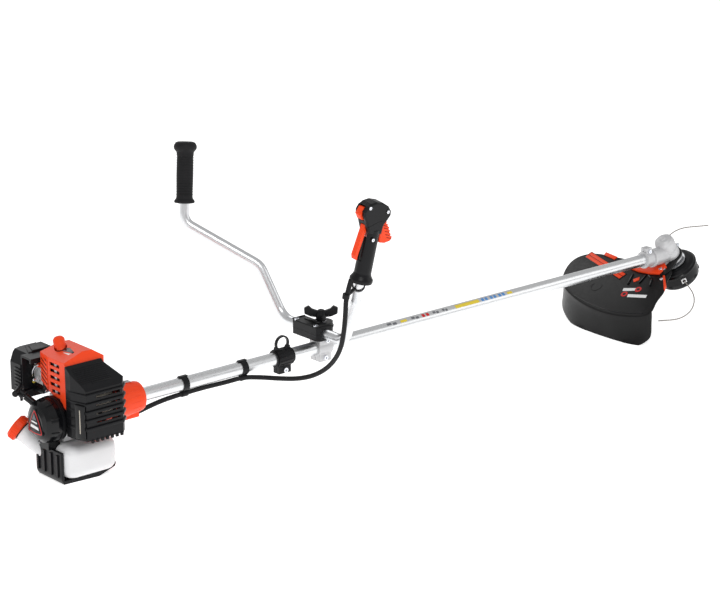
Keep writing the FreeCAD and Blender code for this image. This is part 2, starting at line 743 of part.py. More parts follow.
def muffler_cover():
    """The louvred cover over the muffler, open towards the engine."""
    shell = muffler_body(0).cut(muffler_body(2.6))
    cuts = [block((-230, -43.5, -60), (-90, -30, 160))]
    for count in range(4):
        low = 8 + 17 * count
        cuts.append(block((-168, -110, low), (-112, -90, low + 7)))
        cuts.append(block((-102, -88, low), (-90, -56, low + 7)))
    body = shell.cut(cuts)
    body = max(body.Solids, key=lambda solid: solid.Volume)
    return body.cut([rod(44.3, (-150, 0, 0), (-100, 0, 0)), rod(45.3, (-210, 0, 0), (-199, 0, 0)),
                     cover_body(-0.3)])


def intake_insulator():
    x = CYLINDER_X
    return block((x - 15, 34, 54), (x + 15, 54, 84)).cut(rod(8, (x, 33, INTAKE_Z), (x, 55, INTAKE_Z)))


PRIMER_Z = 44.0
VALVE_LEVER_Z = 86.0


def carburettor():
    x = CYLINDER_X
    body = join([block((x - 17, 54, 50), (x + 17, 88, 84)),
                 rod(9, (x, 71, PRIMER_Z), (x, 71, 52)),
                 rod(6, (x - 22, 71, 60), (x - 15, 71, 60))])
    return body.cut([rod(8, (x, 53, INTAKE_Z), (x, 89, INTAKE_Z)),
                     rod(6.5, (x, 71, PRIMER_Z - 1), (x, 71, 49)),
                     rod(2.5 + RUN_CLEAR, (x, 64, 80), (x, 64, 85))])


def throttle_valve_lever():
    """The lever that the control cable pulls on the carburettor."""
    x = CYLINDER_X
    stem = rod(2.5, (x, 64, 80), (x, 64, VALVE_LEVER_Z + 2))
    arm = block((x - 20, 61, VALVE_LEVER_Z - 1.5), (x + 4, 67, VALVE_LEVER_Z + 1.5))
    stud = rod(2.5, (x - 17, 64, VALVE_LEVER_Z - 1), (x - 17, 64, VALVE_LEVER_Z + 5))
    return join([stem, arm, stud])


def primer_bulb():
    """The soft bulb that is pressed up to fill the carburettor."""
    x = CYLINDER_X
    return lathe([(-14, 3), (-12, 6.4), (0, 6.4)], (x, 71, PRIMER_Z + 1.5), (0, 0, 1))


CLEANER_LEFT = 138.0
CHOKE_AXIS = (-196.0, 34.0)


def air_cleaner_base():
    """The plate behind the carburettor, with the hood that reaches over it."""
    plate = block((-216, 88, 22), (-138, 92, 108))
    hood = block((-216, 55, 106), (-138, 92, 110))
    hole = rod(8, (CYLINDER_X, 87, INTAKE_Z), (CYLINDER_X, 93, INTAKE_Z))
    stem = rod(3 + RUN_CLEAR, (CHOKE_AXIS[0], 80, CHOKE_AXIS[1]), (CHOKE_AXIS[0], 95, CHOKE_AXIS[1]))
    return join([plate, hood]).cut([hole, stem])


def cleaner_form(gap):
    """The air cleaner cover's outer form, or its inner form when the gap is more than zero."""
    low, high = 18 + gap, 111 - gap
    outline = [(-218 + gap, low + 12), (-218 + gap, high - 22), (-200, high - 2), (-188, high),
               (-150, high), (-136 - gap, high - 10), (-136 - gap, low + 6), (-146, low), (-196, low)]
    start = 92.0 - (1 if gap else 0)
    body = slab([(x, start, z) for x, z in outline], (0, CLEANER_LEFT - gap - start, 0))
    bevel = slab([(-240, 112 - gap, 10), (-186, 152 - gap, 10), (-240, 152, 10)], (0, 0, 120))
    return body.cut(bevel)


def air_cleaner_cover():
    shell = cleaner_form(0).cut(cleaner_form(2.5))
    seat = rod(9, (CYLINDER_X, 130, 70), (CYLINDER_X, 144, 70))
    stem = rod(3 + RUN_CLEAR, (CYLINDER_X, 110, 70), (CYLINDER_X, 144, 70))
    pocket = rod(11, (CYLINDER_X, 127.5, 70), (CYLINDER_X, CLEANER_LEFT - 2.5, 70))
    return join([shell, pocket]).cut([seat, stem])


def air_filter():
    room = rod(7, (CYLINDER_X, 92, 70), (CYLINDER_X, 115, 70))
    return block((-200, 93, 34), (-146, 113, 100)).cut(room)


def air_cleaner_knob():
    """The quarter-turn knob that holds the air cleaner's cover."""
    x = CYLINDER_X
    head = rod(8.5, (x, 130.1, 70), (x, 138, 70)).cut([block((x - 10, 133, 72), (x + 10, 140, 80)),
                                                       block((x - 10, 133, 60), (x + 10, 140, 68))])
    stem = rod(3, (x, 115, 70), (x, 132, 70))
    return join([head, stem])


def choke_lever():
    """The choke lever under the air cleaner, a hooked blade on a short stem."""
    x, z = CHOKE_AXIS
    stem = rod(3, (x, 82, z), (x, 91.5, z))
    outline = [(x + 5, z - 4), (x + 5, z + 4), (x - 24, z + 2), (x - 30, z - 6), (x - 29, z - 16),
               (x - 25, z - 16), (x - 24, z - 8), (x - 20, z - 5)]
    blade = slab([(px, 83, pz) for px, pz in outline], (0, 4, 0))
    return join([stem, blade])


# Recoil starter, on the crankshaft's tail

REEL_R = 25.0
HANDLE_WAY = Vector(-0.52, 0.60, 0.61).normalize()
ROPE_EXIT = Vector(-240.0, 44.0, 42.0)


def starter_housing():
    """The recoil starter's domed housing, with the post of its reel and its foot."""
    outside = lathe([(-247, 24), (-243, 34), (-236, 42), (-222, 45), (-200, 45)])
    foot = block((-229, -15, -58), (-203, 15, -38))
    body = join([outside, foot])
    room = lathe([(-242.5, 28), (-240, 34), (-233, 38.5), (-221, 41.5), (-199, 41.5)])
    body = body.cut(room)
    post = rod(5, (-243, 0, 0), (-219, 0, 0))
    outlet = rod(7, ROPE_EXIT - HANDLE_WAY * 24, ROPE_EXIT).cut(room)
    body = join([body, post, outlet])
    return body.cut(rope_solid(2.2, 40, 2))


def rope_solid(radius, back, ahead):
    """The rope's straight run through the housing's wall."""
    return rod(radius, ROPE_EXIT - HANDLE_WAY * back, ROPE_EXIT + HANDLE_WAY * ahead)


def starter_reel():
    """The rope reel, with its groove and the wound spring's hub."""
    body = lathe([(-238, 31), (-235, 31), (-234, REEL_R), (-226, REEL_R), (-225, 31), (-222, 31)])
    return body.cut(rod(5 + RUN_CLEAR, (-239, 0, 0), (-220, 0, 0)))


def starter_handle():
    """The T-shaped pull handle on the rope's end."""
    base = ROPE_EXIT + HANDLE_WAY * 3
    cup = lathe([(0, 8), (2, 9), (12, 7)], base, HANDLE_WAY)
    side = HANDLE_WAY.cross(Z).normalize()
    middle = base + HANDLE_WAY * 15
    bar = lathe([(-22, 5), (-20, 6.5), (0, 5.5), (20, 6.5), (22, 5)], middle, side)
    return join([cup, bar])


def starter_rope():
    """The rope between the reel's groove and the handle."""
    return rod(1.8, ROPE_EXIT - HANDLE_WAY * 20, ROPE_EXIT + HANDLE_WAY * 3)


# Fuel tank and stand

NECK_BASE = Vector(-200, 28, -80)
NECK_END = Vector(-231, 73, -41)
NECK_WAY = (NECK_END - NECK_BASE).normalize()


def tank_form(gap):
    """The tank's outer form, or its inner form when the gap is more than zero."""
    body = block((-215 + gap, -62 + gap, -115 + gap), (-92 - gap, 58 - gap, -49 - gap))
    body = soften(body, 26 - gap, is_along(Z))
    return soften(body, 18 - gap, lambda edge: True)


def fuel_tank():
    """The fuel tank with its slanted filler neck."""
    neck = rod(20, NECK_BASE, NECK_END)
    room = rod(17.5, NECK_BASE, NECK_END + NECK_WAY)
    body = join([tank_form(0), neck]).cut([tank_form(2.2), room])
    return body.cut(block((-232, -16, -62), (-200, 16, -40)))


CAP_BASE = NECK_END + NECK_WAY * 2.5


def fuel_cap_gasket():
    """The seal ring between the neck and its cap."""
    return ring(19.5, 15.5, NECK_END, CAP_BASE)


def fuel_cap():
    """The ribbed fuel cap, with the plug that goes down into the neck."""
    cap = lathe([(0, 24), (2, 25.5), (15, 25.5), (18.5, 23)], CAP_BASE, NECK_WAY)
    plug = rod(15, CAP_BASE - NECK_WAY * 10, CAP_BASE + NECK_WAY)
    return join([cap, plug])


def tank_stand():
    """The bent stand: a ribbed band behind the tank, under it and up at the front."""
    profile = [(-222, -58), (-222, -132), (-150, -132), (-95, -114), (-92, -106), (-97, -104),
               (-150, -117), (-215.5, -117), (-215.5, -58)]
    body = slab([(x, -46, z) for x, z in profile], (0, 88, 0))
    body = soften(body, 24.0, lambda edge: is_along(Y)(edge) and edge.BoundBox.ZMin < -130)
    shoulder = block((-222, -46, -66), (-215.3, 42, -58))
    ribs = [block((-225, y - 3, -110), (-221, y + 3, -64)) for y in (-34, -12, 12, 34)]
    body = join([body, shoulder] + ribs)
    tank_room = tank_form(-0.4)
    body = body.cut([tank_room, rod(20.5, NECK_BASE, NECK_END)])
    floor = block((-400, -200, -60), (400, 200, 0))
    return moved(moved(body, WORLD).cut(floor), WORLD.inverse())


# Gear case and cutting head, in the head's frame: x forward, z up its axis

CONE_LENGTH = GEAR_MODULE * GEAR_TEETH / 2 / math.sin(math.radians(34.72))
PINION_CONE = 25.28
GEAR_CONE = 34.72


def bevel_gear_form(teeth, cone, phase):
    """A bevel gear with its apex at the origin and its axis along +Z."""
    inner = 0.66
    add, ded = 0.75 * GEAR_MODULE, 1.0 * GEAR_MODULE
    angle = math.radians(cone)
    root = angle - math.atan(ded / CONE_LENGTH)
    tip = angle + math.atan(add / CONE_LENGTH)
    half_root, half_tip = math.pi / teeth * 0.42, math.pi / teeth * 0.22

    def on_cone(slope, turn, scale):
        radius = CONE_LENGTH * math.sin(slope) * scale
        height = CONE_LENGTH * math.cos(slope) * scale
        return Vector(radius * math.cos(turn), radius * math.sin(turn), height)

    big, small = on_cone(root, 0, 1), on_cone(root, 0, inner)
    blank = lathe([(small.z, small.x), (big.z, big.x), (big.z + 4, big.x - 1.5)], (0, 0, 0), (0, 0, 1))
    sunk = root - 0.03
    solids = [blank]
    for count in range(teeth):
        turn = 2 * math.pi * count / teeth + phase
        rings = []
        for scale in (1.0, inner):
            corners = [on_cone(sunk, turn - half_root, scale), on_cone(tip, turn - half_tip, scale),
                       on_cone(tip, turn + half_tip, scale), on_cone(sunk, turn + half_root, scale)]
            rings.append(Part.makePolygon(corners + [corners[0]]))
        solids.append(Part.makeLoft(rings, True, True))
    return join(solids)


def pinion_gear():
    """The bevel pinion on the drive shaft's end."""
    form = bevel_gear_form(PINION_TEETH, PINION_CONE, math.pi / PINION_TEETH)
    form = moved(form, Placement(Vector(APEX_X, 0, 0), Rotation(Z, Y, -X, "ZXY")))
    back = APEX_X - CONE_LENGTH * math.cos(math.radians(PINION_CONE)) - 1
    hub = rod(JOURNAL_R, (1471, 0, 0), (back, 0, 0))
    return join([form, hub]).cut(rod(SHAFT_R, (1470, 0, 0), (1500, 0, 0)))


def output_gear():
    """The driven bevel gear with the output shaft down its middle."""
    form = bevel_gear_form(GEAR_TEETH, GEAR_CONE, math.pi)
    shaft = join([rod(OUTPUT_R, (0, 0, -60), (0, 0, 30)), rod(5, (0, 0, 29), (0, 0, 44))])
    return moved(join([form, shaft]), HEAD)


CASE_R = 25.0


def gear_case():
    """The cast gear case: tube clamp, neck and the barrel round the output shaft."""
    neck = join([rod(18.5, (1450, 0, 0), (1476, 0, 0)),
                 lathe([(1474, 18.5), (1480, 20.5), (APEX_X - 8, 20.5)]),
                 block((1452, -9.5, 10), (1470, 9.5, 29))])
    barrel = lathe([(-18, 22), (-16, CASE_R), (2, CASE_R), (10, 23.5), (34, 23.5), (42, 21), (46, 16),
                    (48, 9)], (0, 0, 0), (0, 0, 1))
    body = join([neck, moved(barrel, HEAD)])
    rooms = [rod(TUBE_R, (1449, 0, 0), (1479, 0, 0)),
             rod(17.0, (1483, 0, 0), (APEX_X, 0, 0)),
             rod(JOURNAL_R + 0.5, (1478, 0, 0), (1484, 0, 0)),
             block((1449, -0.8, 12), (1471, 0.8, 32))]
    tilted = [rod(20.3, (0, 0, -4), (0, 0, 35.5)), rod(16, (0, 0, -15), (0, 0, -3)),
              rod(9, (0, 0, -20), (0, 0, -14)), rod(11, (0, 0, 34), (0, 0, 44))]
    return clear_of_screws(body.cut(rooms + [moved(room, HEAD) for room in tilted]))


def holder_plate():
    """The steel plate above the head, with its locking hole and collar."""
    plate = lathe([(-26, 30), (-25, 32), (-22, 32), (-21.5, 31), (-21.5, 12), (-20, 12)],
                  (0, 0, 0), (0, 0, 1))
    plate = plate.cut([rod(OUTPUT_R, (0, 0, -30), (0, 0, -10)),
                       rod(3.2, head_point(-22, -10, 30), head_point(-22, -10, 15))])
    return moved(plate, HEAD)


def line_start(sign):
    """Where a cutting line leaves the head: on the rear right (-1) or the front left (+1)."""
    return head_point(-25.0 * sign, 46.0 * sign, LINE_LEVEL)


def head_shell():
    """The line head's housing, hollow for its spool, open below."""
    outside = lathe([(-77, 46), (-72, 50), (-62, HEAD_R), (-40, HEAD_R), (-32, 49), (-27.5, 42), (-26, 20)],
                    (0, 0, 0), (0, 0, 1))
    room = lathe([(-78, 31), (-74, 31), (-73.9, 45.5), (-37, 45.5), (-34, 40), (-34, 12.2)],
                 (0, 0, 0), (0, 0, 1))
    post = rod(12, (0, 0, -62), (0, 0, -30))
    body = join([outside.cut(room), post]).cut(rod(OUTPUT_R, (0, 0, -60), (0, 0, -20)))
    holes = []
    for sign in (-1, 1):
        start = line_start(sign)
        holes.append(rod(2.4, start * 0.8, start + (start - Vector(0, 0, start.z)) * 0.2))
    return moved(body.cut(holes), HEAD)


def spool_knob():
    """The spool with the tap knob that stands out below the head."""
    spool = lathe([(-72, 28), (-70, 28), (-70, 43), (-67, 43), (-67, 30), (-44, 30), (-44, 43),
                   (-41, 43), (-41, 26)], (0, 0, 0), (0, 0, 1))
    knob = lathe([(-88, 20), (-84, 26), (-70, 28)], (0, 0, 0), (0, 0, 1))
    bore = rod(12 + RUN_CLEAR, (0, 0, -69), (0, 0, -30))
    return moved(join([spool, knob]).cut(bore), HEAD)


LINE_REAR = ((36, -70), (55, -103), (80, -125), (106, -134), (127, -129), (141, -115), (150, -96),
             (159, -76))
LINE_FRONT = ((-41, 72), (-64, 95), (-90, 104), (-113, 100), (-130, 86), (-141, 64), (-150, 44),
              (-158, 27))


def line_points(turns):
    """A cutting line's route in the head's frame, from its eyelet out."""
    sign = 1 if turns[0][0] < 0 else -1
    start = line_start(sign)
    return [start] + [head_point(back, left, LINE_LEVEL) for back, left in turns]


def trimmer_lines():
    """Two lengths of cutting line."""
    lines = [cord("trimmer_line", line_points(turns), LINE_R) for turns in (LINE_REAR, LINE_FRONT)]
    return moved(Part.makeCompound(lines), HEAD)


def guard_bracket():
    """The orange bracket that holds the guard on the gear case's barrel."""
    band = rod(30, (0, 0, -9), (0, 0, -5))
    arm = slab([head_point(10, -32, 9), head_point(52, -38, 9), head_point(64, -36, 9),
                head_point(64, 48, 9), head_point(50, 52, 9), head_point(10, 30, 9)], (0, 0, 4))
    apron = slab([head_point(56, 46, 9), head_point(64, 46, 9), head_point(64, 110, 9),
                  head_point(54, 110, 9)], (0, 0, 4))
    notch = block((-34, -16, -10), (0, 16, 0))
    body = join([band, arm, apron]).cut([rod(CASE_R, (0, 0, -10), (0, 0, 1)), notch])
    return clear_of_screws(moved(body, HEAD))


PLATE_EDGE = ((38, -36), (76, -54), (107, -70), (139, -75), (172, -86), (190, -80), (205, -50),
              (216, 0), (218, 45), (214, 92), (202, 144), (182, 194), (153, 226), (118, 241),
              (90, 240), (68, 222), (55, 190), (48, 120), (42, 52), (38, 20))
SKIRT_EDGE = ((30, -30), (76, -54), (120, -72), (150, -79), (184, -84), (208, -84), (236, -72),
              (251, -34), (254, 15), (253, 71), (242, 134), (213, 195), (179, 233), (136, 256),
              (98, 258), (70, 238), (52, 200), (44, 120), (38, 52), (30, 20))
SKIRT_RIM = range(5, 16)
PLATE_DEPTH = 9.0
SKIRT_DEPTH = 66.0
GUARD_WALL = 3.0


def guard_form(gap):
    """The guard's outer form, or its open inner form when the gap is more than zero."""
    rings = []
    for edge, depth in ((PLATE_EDGE, PLATE_DEPTH + gap), (SKIRT_EDGE, SKIRT_DEPTH + gap)):
        points = []
        for count, (back, left) in enumerate(edge):
            away = Vector(back, left, 0)
            if gap and count in SKIRT_RIM:
                away = away * (1 - gap / away.Length)
            elif gap:
                middle = Vector(120, 80, 0)
                away = middle + (away - middle) * 1.5
            points.append(head_point(away.x, away.y, depth))
        rings.append(Part.makePolygon(points + [points[0]]))
    return Part.makeLoft(rings, True, True)


def guard():
    """The guard: a flat top with a flared skirt round its rear and left."""
    shell = guard_form(0).cut(guard_form(GUARD_WALL))
    body = max(shell.Solids, key=lambda solid: solid.Volume)
    body = clear_of_screws(moved(body, HEAD))
    floor = block((-400, -900, -80), (2400, 900, 0))
    return moved(moved(body, WORLD).cut(floor), WORLD.inverse())


def line_cutter():
    """The steel blade inside the skirt that trims the line to length."""
    blade = slab([head_point(150, 216, 40), head_point(138, 222, 40), head_point(126, 200, 40),
                  head_point(132, 196, 40)], (0, 0, 2))
    return moved(blade, HEAD)


NODES = (main_tube, drive_shaft, shaft_bearings, cable_clips, hanger_clamp, bracket_casting,
         mount_lower, mount_cap, clamp_washer, clamp_knob, handlebar, left_grip, throttle_housing,
         handle_screws, throttle_trigger, lockout_lever, stop_switch, bar_cable_clip,
         control_cable, clutch_case, clutch_drum, clutch_shoes, crankcase, cylinder, piston,
         crankshaft, flywheel_fan, engine_cover, spark_plug, spark_plug_cap, muffler,
         muffler_cover, intake_insulator, carburettor, throttle_valve_lever, primer_bulb,
         air_cleaner_base, air_cleaner_cover, air_filter, air_cleaner_knob, choke_lever,
         starter_housing, starter_reel, starter_handle, starter_rope, fuel_tank, fuel_cap_gasket,
         fuel_cap, tank_stand, gear_case, pinion_gear, output_gear, holder_plate, head_shell,
         spool_knob, trimmer_lines, guard_bracket, guard, line_cutter, machine_screws)

os.makedirs("parts", exist_ok=True)
for make in NODES:
    moved(make(), WORLD).exportStep("parts/" + make.__name__ + ".step")
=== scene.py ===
"""Looks of a petrol brush cutter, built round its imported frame."""
import logging
import math
from dataclasses import dataclass
from enum import Enum
from typing import Sequence

import bmesh
import bpy
from mathutils import Matrix, Vector


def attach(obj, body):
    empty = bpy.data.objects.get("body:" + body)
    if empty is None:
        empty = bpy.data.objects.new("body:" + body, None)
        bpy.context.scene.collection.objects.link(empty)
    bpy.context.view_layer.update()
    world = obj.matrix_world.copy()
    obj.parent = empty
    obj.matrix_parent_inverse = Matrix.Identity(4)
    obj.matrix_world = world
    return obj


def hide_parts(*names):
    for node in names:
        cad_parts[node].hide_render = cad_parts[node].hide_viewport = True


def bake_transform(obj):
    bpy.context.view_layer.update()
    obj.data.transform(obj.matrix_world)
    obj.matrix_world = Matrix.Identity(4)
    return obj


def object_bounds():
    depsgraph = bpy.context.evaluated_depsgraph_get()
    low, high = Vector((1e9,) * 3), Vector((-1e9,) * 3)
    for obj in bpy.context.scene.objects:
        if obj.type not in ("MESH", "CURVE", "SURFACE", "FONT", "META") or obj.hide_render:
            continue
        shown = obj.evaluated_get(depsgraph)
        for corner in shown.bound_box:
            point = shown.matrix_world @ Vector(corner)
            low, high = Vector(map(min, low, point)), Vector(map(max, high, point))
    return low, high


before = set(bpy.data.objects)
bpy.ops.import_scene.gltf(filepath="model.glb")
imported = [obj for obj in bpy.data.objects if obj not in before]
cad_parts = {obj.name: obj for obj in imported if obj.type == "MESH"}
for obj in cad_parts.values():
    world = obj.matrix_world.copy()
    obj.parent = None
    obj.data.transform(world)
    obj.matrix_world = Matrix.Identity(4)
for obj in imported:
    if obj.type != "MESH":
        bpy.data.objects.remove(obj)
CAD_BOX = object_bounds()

LOG = logging.getLogger("brush_cutter")
Point = Sequence[float]

MM = 0.001
LEAN = math.radians(1.85)
FOOT = Vector((-176.0, -2.0, -125.0))
APEX_X = 1538.0
HEAD_TILT = math.radians(30.0)
BAR_SHIFT = -5.0
BAR_ELBOW = (332.0, 291.0, 240.0)
BAR_TOP = (358.0, 314.0, 412.0)


# Places of the sub-assemblies

def machine_place() -> Matrix:
    """Gives the matrix from the machine's millimetres to the frame's metres."""
    return Matrix.Rotation(-LEAN, 4, "Y") @ Matrix.Scale(MM, 4) @ Matrix.Translation(-FOOT)


def head_place() -> Matrix:
    """Gives the matrix from the cutting head's millimetres to the frame's metres."""
    tilt = Matrix.Rotation(-HEAD_TILT, 4, "Y")
    return machine_place() @ Matrix.Translation((APEX_X, 0, 0)) @ tilt


def grip_place(side: int) -> Matrix:
    """Gives the place of a handlebar end: x forward, z up along the bar from its elbow.

    Args:
        side: 1 for the left end, -1 for the right.

    Returns:
        The matrix from the grip's millimetres to the frame's metres.
    """
    elbow, top = (Vector((c[0], side * c[1] + BAR_SHIFT, c[2])) for c in (BAR_ELBOW, BAR_TOP))
    up = (top - elbow).normalized()
    left = up.cross(Vector((1, 0, 0))).normalized()
    turn = Matrix((left.cross(up), left, up)).transposed().to_4x4()
    return machine_place() @ Matrix.Translation(elbow) @ turn


def lift(height: float) -> Vector:
    """Gives a step straight up, or down where the height is below zero."""
    return Vector((0, 0, height))


def on_shaft(x: float) -> Matrix:
    """Gives a place on the drive shaft's axis, in the machine, with its z forward."""
    return axis_place((x, 0, 0), (1, 0, 0))


def axis_place(base: Point, axis: Point, side: Point = (0, 0, 1)) -> Matrix:
    """Gives a place in the machine with its z along an axis.

    Args:
        base: the place's origin, in machine millimetres.
        axis: the direction of its z.
        side: a direction that its x leans towards.

    Returns:
        The matrix from the place's millimetres to the machine's.
    """
    up = Vector(axis).normalized()
    across = up.cross(Vector(side)).normalized()
    turn = Matrix((across.cross(up), across, up)).transposed().to_4x4()
    return Matrix.Translation(base) @ turn


# Nodes

def set_inputs(node: bpy.types.Node, values: dict[str, object]) -> None:
    """Sets a node's inputs by name.

    Args:
        node: the node.
        values: the value of each input.
    """
    for name, value in values.items():
        node.inputs[name].default_value = value


def wire(tree: bpy.types.NodeTree,
         *wires: tuple[bpy.types.Node, str, bpy.types.Node, str | int]) -> None:
    """Joins nodes of a tree.

    Args:
        tree: the nodes' tree.
        wires: (node, output, node, input) of each link.
    """
    for source, output, target, entry in wires:
        tree.links.new(source.outputs[output], target.inputs[entry])


# Finishes

COAT_ROUGHNESS = 0.12
METAL_SPECULAR, PLASTIC_SPECULAR = 0.5, 0.2
GLOW_DEPTH = 0.004
CLOUD_GRAINS = 22
SHINE_LOW, SHINE_HIGH = 0.82, 1.18


class Surface(Enum):
    """The kinds of surface that a finish can have."""

    MOULDED = "moulded"
    CAST = "cast"
    BRUSHED = "brushed"


@dataclass(frozen=True)
class Finish:
    """One material: its colour, its shine and the grain of its surface.

    Attributes:
        name: the material's name.
        slot: the record's material slot; not used.
        colour: base colour, linear.
        roughness: mean roughness.
        metallic: 1 for bare metal.
        coat: weight of a clear coat.
        grain: size of the surface's grain, in metres.
        relief: height of the grain, in metres.
        mottle: how much the colour varies, as a share.
        edge: radius of the light on its edges, in metres.
        surface: the kind of surface.
        glow: weight of light scattered under the surface.
    """

    name: str
    slot: str
    colour: tuple[float, float, float]
    roughness: float = 0.5
    metallic: float = 0.0
    coat: float = 0.0
    grain: float = 0.0012
    relief: float = 0.00003
    mottle: float = 0.06
    edge: float = 0.0006
    surface: Surface = Surface.MOULDED
    glow: float = 0.0

    def material(self) -> bpy.types.Material:
        """Gives the material, made on its first use."""
        found = bpy.data.materials.get(self.name)
        return found if found else self._make()

    def _make(self) -> bpy.types.Material:
        """Builds the node tree.

        Returns:
            The new material.
        """
        material = bpy.data.materials.new(self.name)
        material.use_nodes = True
        tree = material.node_tree
        shader = tree.nodes["Principled BSDF"]
        set_inputs(shader, {
            "Metallic": self.metallic, "Coat Weight": self.coat, "Coat Roughness": COAT_ROUGHNESS,
            "Specular IOR Level": METAL_SPECULAR if self.metallic > 0.3 else PLASTIC_SPECULAR,
            "Subsurface Weight": self.glow, "Subsurface Scale": GLOW_DEPTH,
            "Subsurface Radius": (1.0, 1.0, 1.0)})
        place = tree.nodes.new("ShaderNodeTexCoord")
        mapping = tree.nodes.new("ShaderNodeMapping")
        set_inputs(mapping, {"Scale": self._stretch()})
        cloud = self._noise(tree, mapping, 1 / (self.grain * CLOUD_GRAINS), 3.0)
        fine = self._noise(tree, mapping, 1 / self.grain, 4.0)
        tint = tree.nodes.new("ShaderNodeMix")
        tint.data_type = "RGBA"
        set_inputs(tint, {"A": (*(c * (1 - self.mottle) for c in self.colour), 1),
                          "B": (*(min(1, c * (1 + self.mottle)) for c in self.colour), 1)})
        shine = tree.nodes.new("ShaderNodeMapRange")
        set_inputs(shine, {
            "From Min": 0.3, "From Max": 0.7, "To Min": max(0.02, self.roughness * SHINE_LOW),
            "To Max": min(1.0, self.roughness * SHINE_HIGH)})
        edge = tree.nodes.new("ShaderNodeBevel")
        edge.samples = 4
        set_inputs(edge, {"Radius": self.edge})
        bump = tree.nodes.new("ShaderNodeBump")
        set_inputs(bump, {"Strength": 0.6, "Distance": self.relief})
        wire(tree, (place, "Object", mapping, "Vector"), (cloud, "Fac", tint, "Factor"),
             (tint, "Result", shader, "Base Color"), (fine, "Fac", shine, "Value"),
             (shine, "Result", shader, "Roughness"), (fine, "Fac", bump, "Height"),
             (edge, "Normal", bump, "Normal"), (bump, "Normal", shader, "Normal"))
        return material

    def _stretch(self) -> tuple[float, float, float]:
        """Gives how far the grain is stretched along each axis."""
        return (0.04, 1.0, 1.0) if self.surface is Surface.BRUSHED else (1.0, 1.0, 1.0)

    @staticmethod
    def _noise(tree: bpy.types.NodeTree, mapping: bpy.types.Node, scale: float,
               detail: float) -> bpy.types.Node:
        """Adds a noise texture.

        Args:
            tree: the material's tree.
            mapping: the node that gives its coordinates.
            scale: features per metre.
            detail: octaves of finer noise.

        Returns:
            The new node.
        """
        noise = tree.nodes.new("ShaderNodeTexNoise")
        set_inputs(noise, {"Scale": scale, "Detail": detail})
        wire(tree, (mapping, "Vector", noise, "Vector"))
        return noise


ORANGE = Finish("orange_moulding", "orange_shell", (0.90, 0.066, 0.014), 0.34, mottle=0.03)
# A darker copy of the orange moulding: painted shade for the trigger's grooves.
ORANGE_PAINTED_SHADE = Finish("orange_painted_shade", "orange_shell", (0.26, 0.010, 0.002), 0.45, mottle=0.05)
BLACK = Finish("black_moulding", "black_shell", (0.006, 0.0062, 0.0074), 0.34, mottle=0.15)
BLACK_GLOSS = Finish("black_gloss", "black_shell", (0.0035, 0.0037, 0.0046), 0.2, coat=0.15,
                     relief=1e-5)
BLACK_SATIN = Finish("black_satin", "black_shell", (0.006, 0.006, 0.0062), 0.34, grain=0.006,
                     relief=0.00012, mottle=0.25)
RUBBER = Finish("grip_rubber", "black_rubber", (0.011, 0.011, 0.012), 0.62, relief=0.00006)
TUBE = Finish("anodised_tube", "bare_tube", (0.76, 0.77, 0.78), 0.3, 1.0, grain=0.0006,
              relief=0.000001, mottle=0.03, surface=Surface.BRUSHED)
BAR = Finish("anodised_bar", "bare_tube", (0.74, 0.75, 0.765), 0.3, 1.0, grain=0.0008,
             relief=0.000003, mottle=0.03)
CAST = Finish("die_cast_alloy", "cast_alloy", (0.60, 0.60, 0.61), 0.48, 0.4, grain=0.0009,
              relief=0.00008, mottle=0.10, surface=Surface.CAST)
STEEL = Finish("machined_steel", "steel", (0.62, 0.63, 0.65), 0.26, 1.0, grain=0.0005,
               relief=0.000008, mottle=0.08, surface=Surface.BRUSHED)
ZINC = Finish("zinc_screw", "screw_zinc", (0.84, 0.86, 0.90), 0.2, 1.0, relief=0.000006)
HOT_STEEL = Finish("heat_tinted_steel", "steel", (0.46, 0.42, 0.36), 0.36, 1.0, mottle=0.3)
TANK = Finish("translucent_white", "tank_white", (0.80, 0.80, 0.81), 0.3, grain=0.003,
              relief=0.00003, mottle=0.02, edge=0.002, glow=0.35)
FOAM = Finish("filter_foam", "foam", (0.03, 0.03, 0.03), 0.9, relief=0.0004, mottle=0.3)
LINE = Finish("nylon_line", "nylon_line", (0.30, 0.28, 0.28), 0.42, mottle=0.2, relief=0.00002)
ROPE = Finish("braided_rope", "nylon_line", (0.05, 0.05, 0.055), 0.8, relief=0.0002)
WHITE = Finish("white_print", "tank_white", (0.84, 0.84, 0.84), 0.4, mottle=0.02, relief=1e-5)
GREY = Finish("grey_print", "black_shell", (0.16, 0.165, 0.18), 0.45, mottle=0.05, relief=1e-5)
PALE = Finish("grey_ring", "screw_zinc", (0.55, 0.57, 0.60), 0.5, mottle=0.04)
RED = Finish("red_print", "orange_shell", (0.60, 0.02, 0.02), 0.4, mottle=0.03, relief=1e-5)
YELLOW = Finish("yellow_print", "orange_shell", (0.80, 0.62, 0.06), 0.4, mottle=0.02, relief=1e-5)
BLUE = Finish("blue_print", "black_shell", (0.10, 0.28, 0.62), 0.4, mottle=0.02, relief=1e-5)

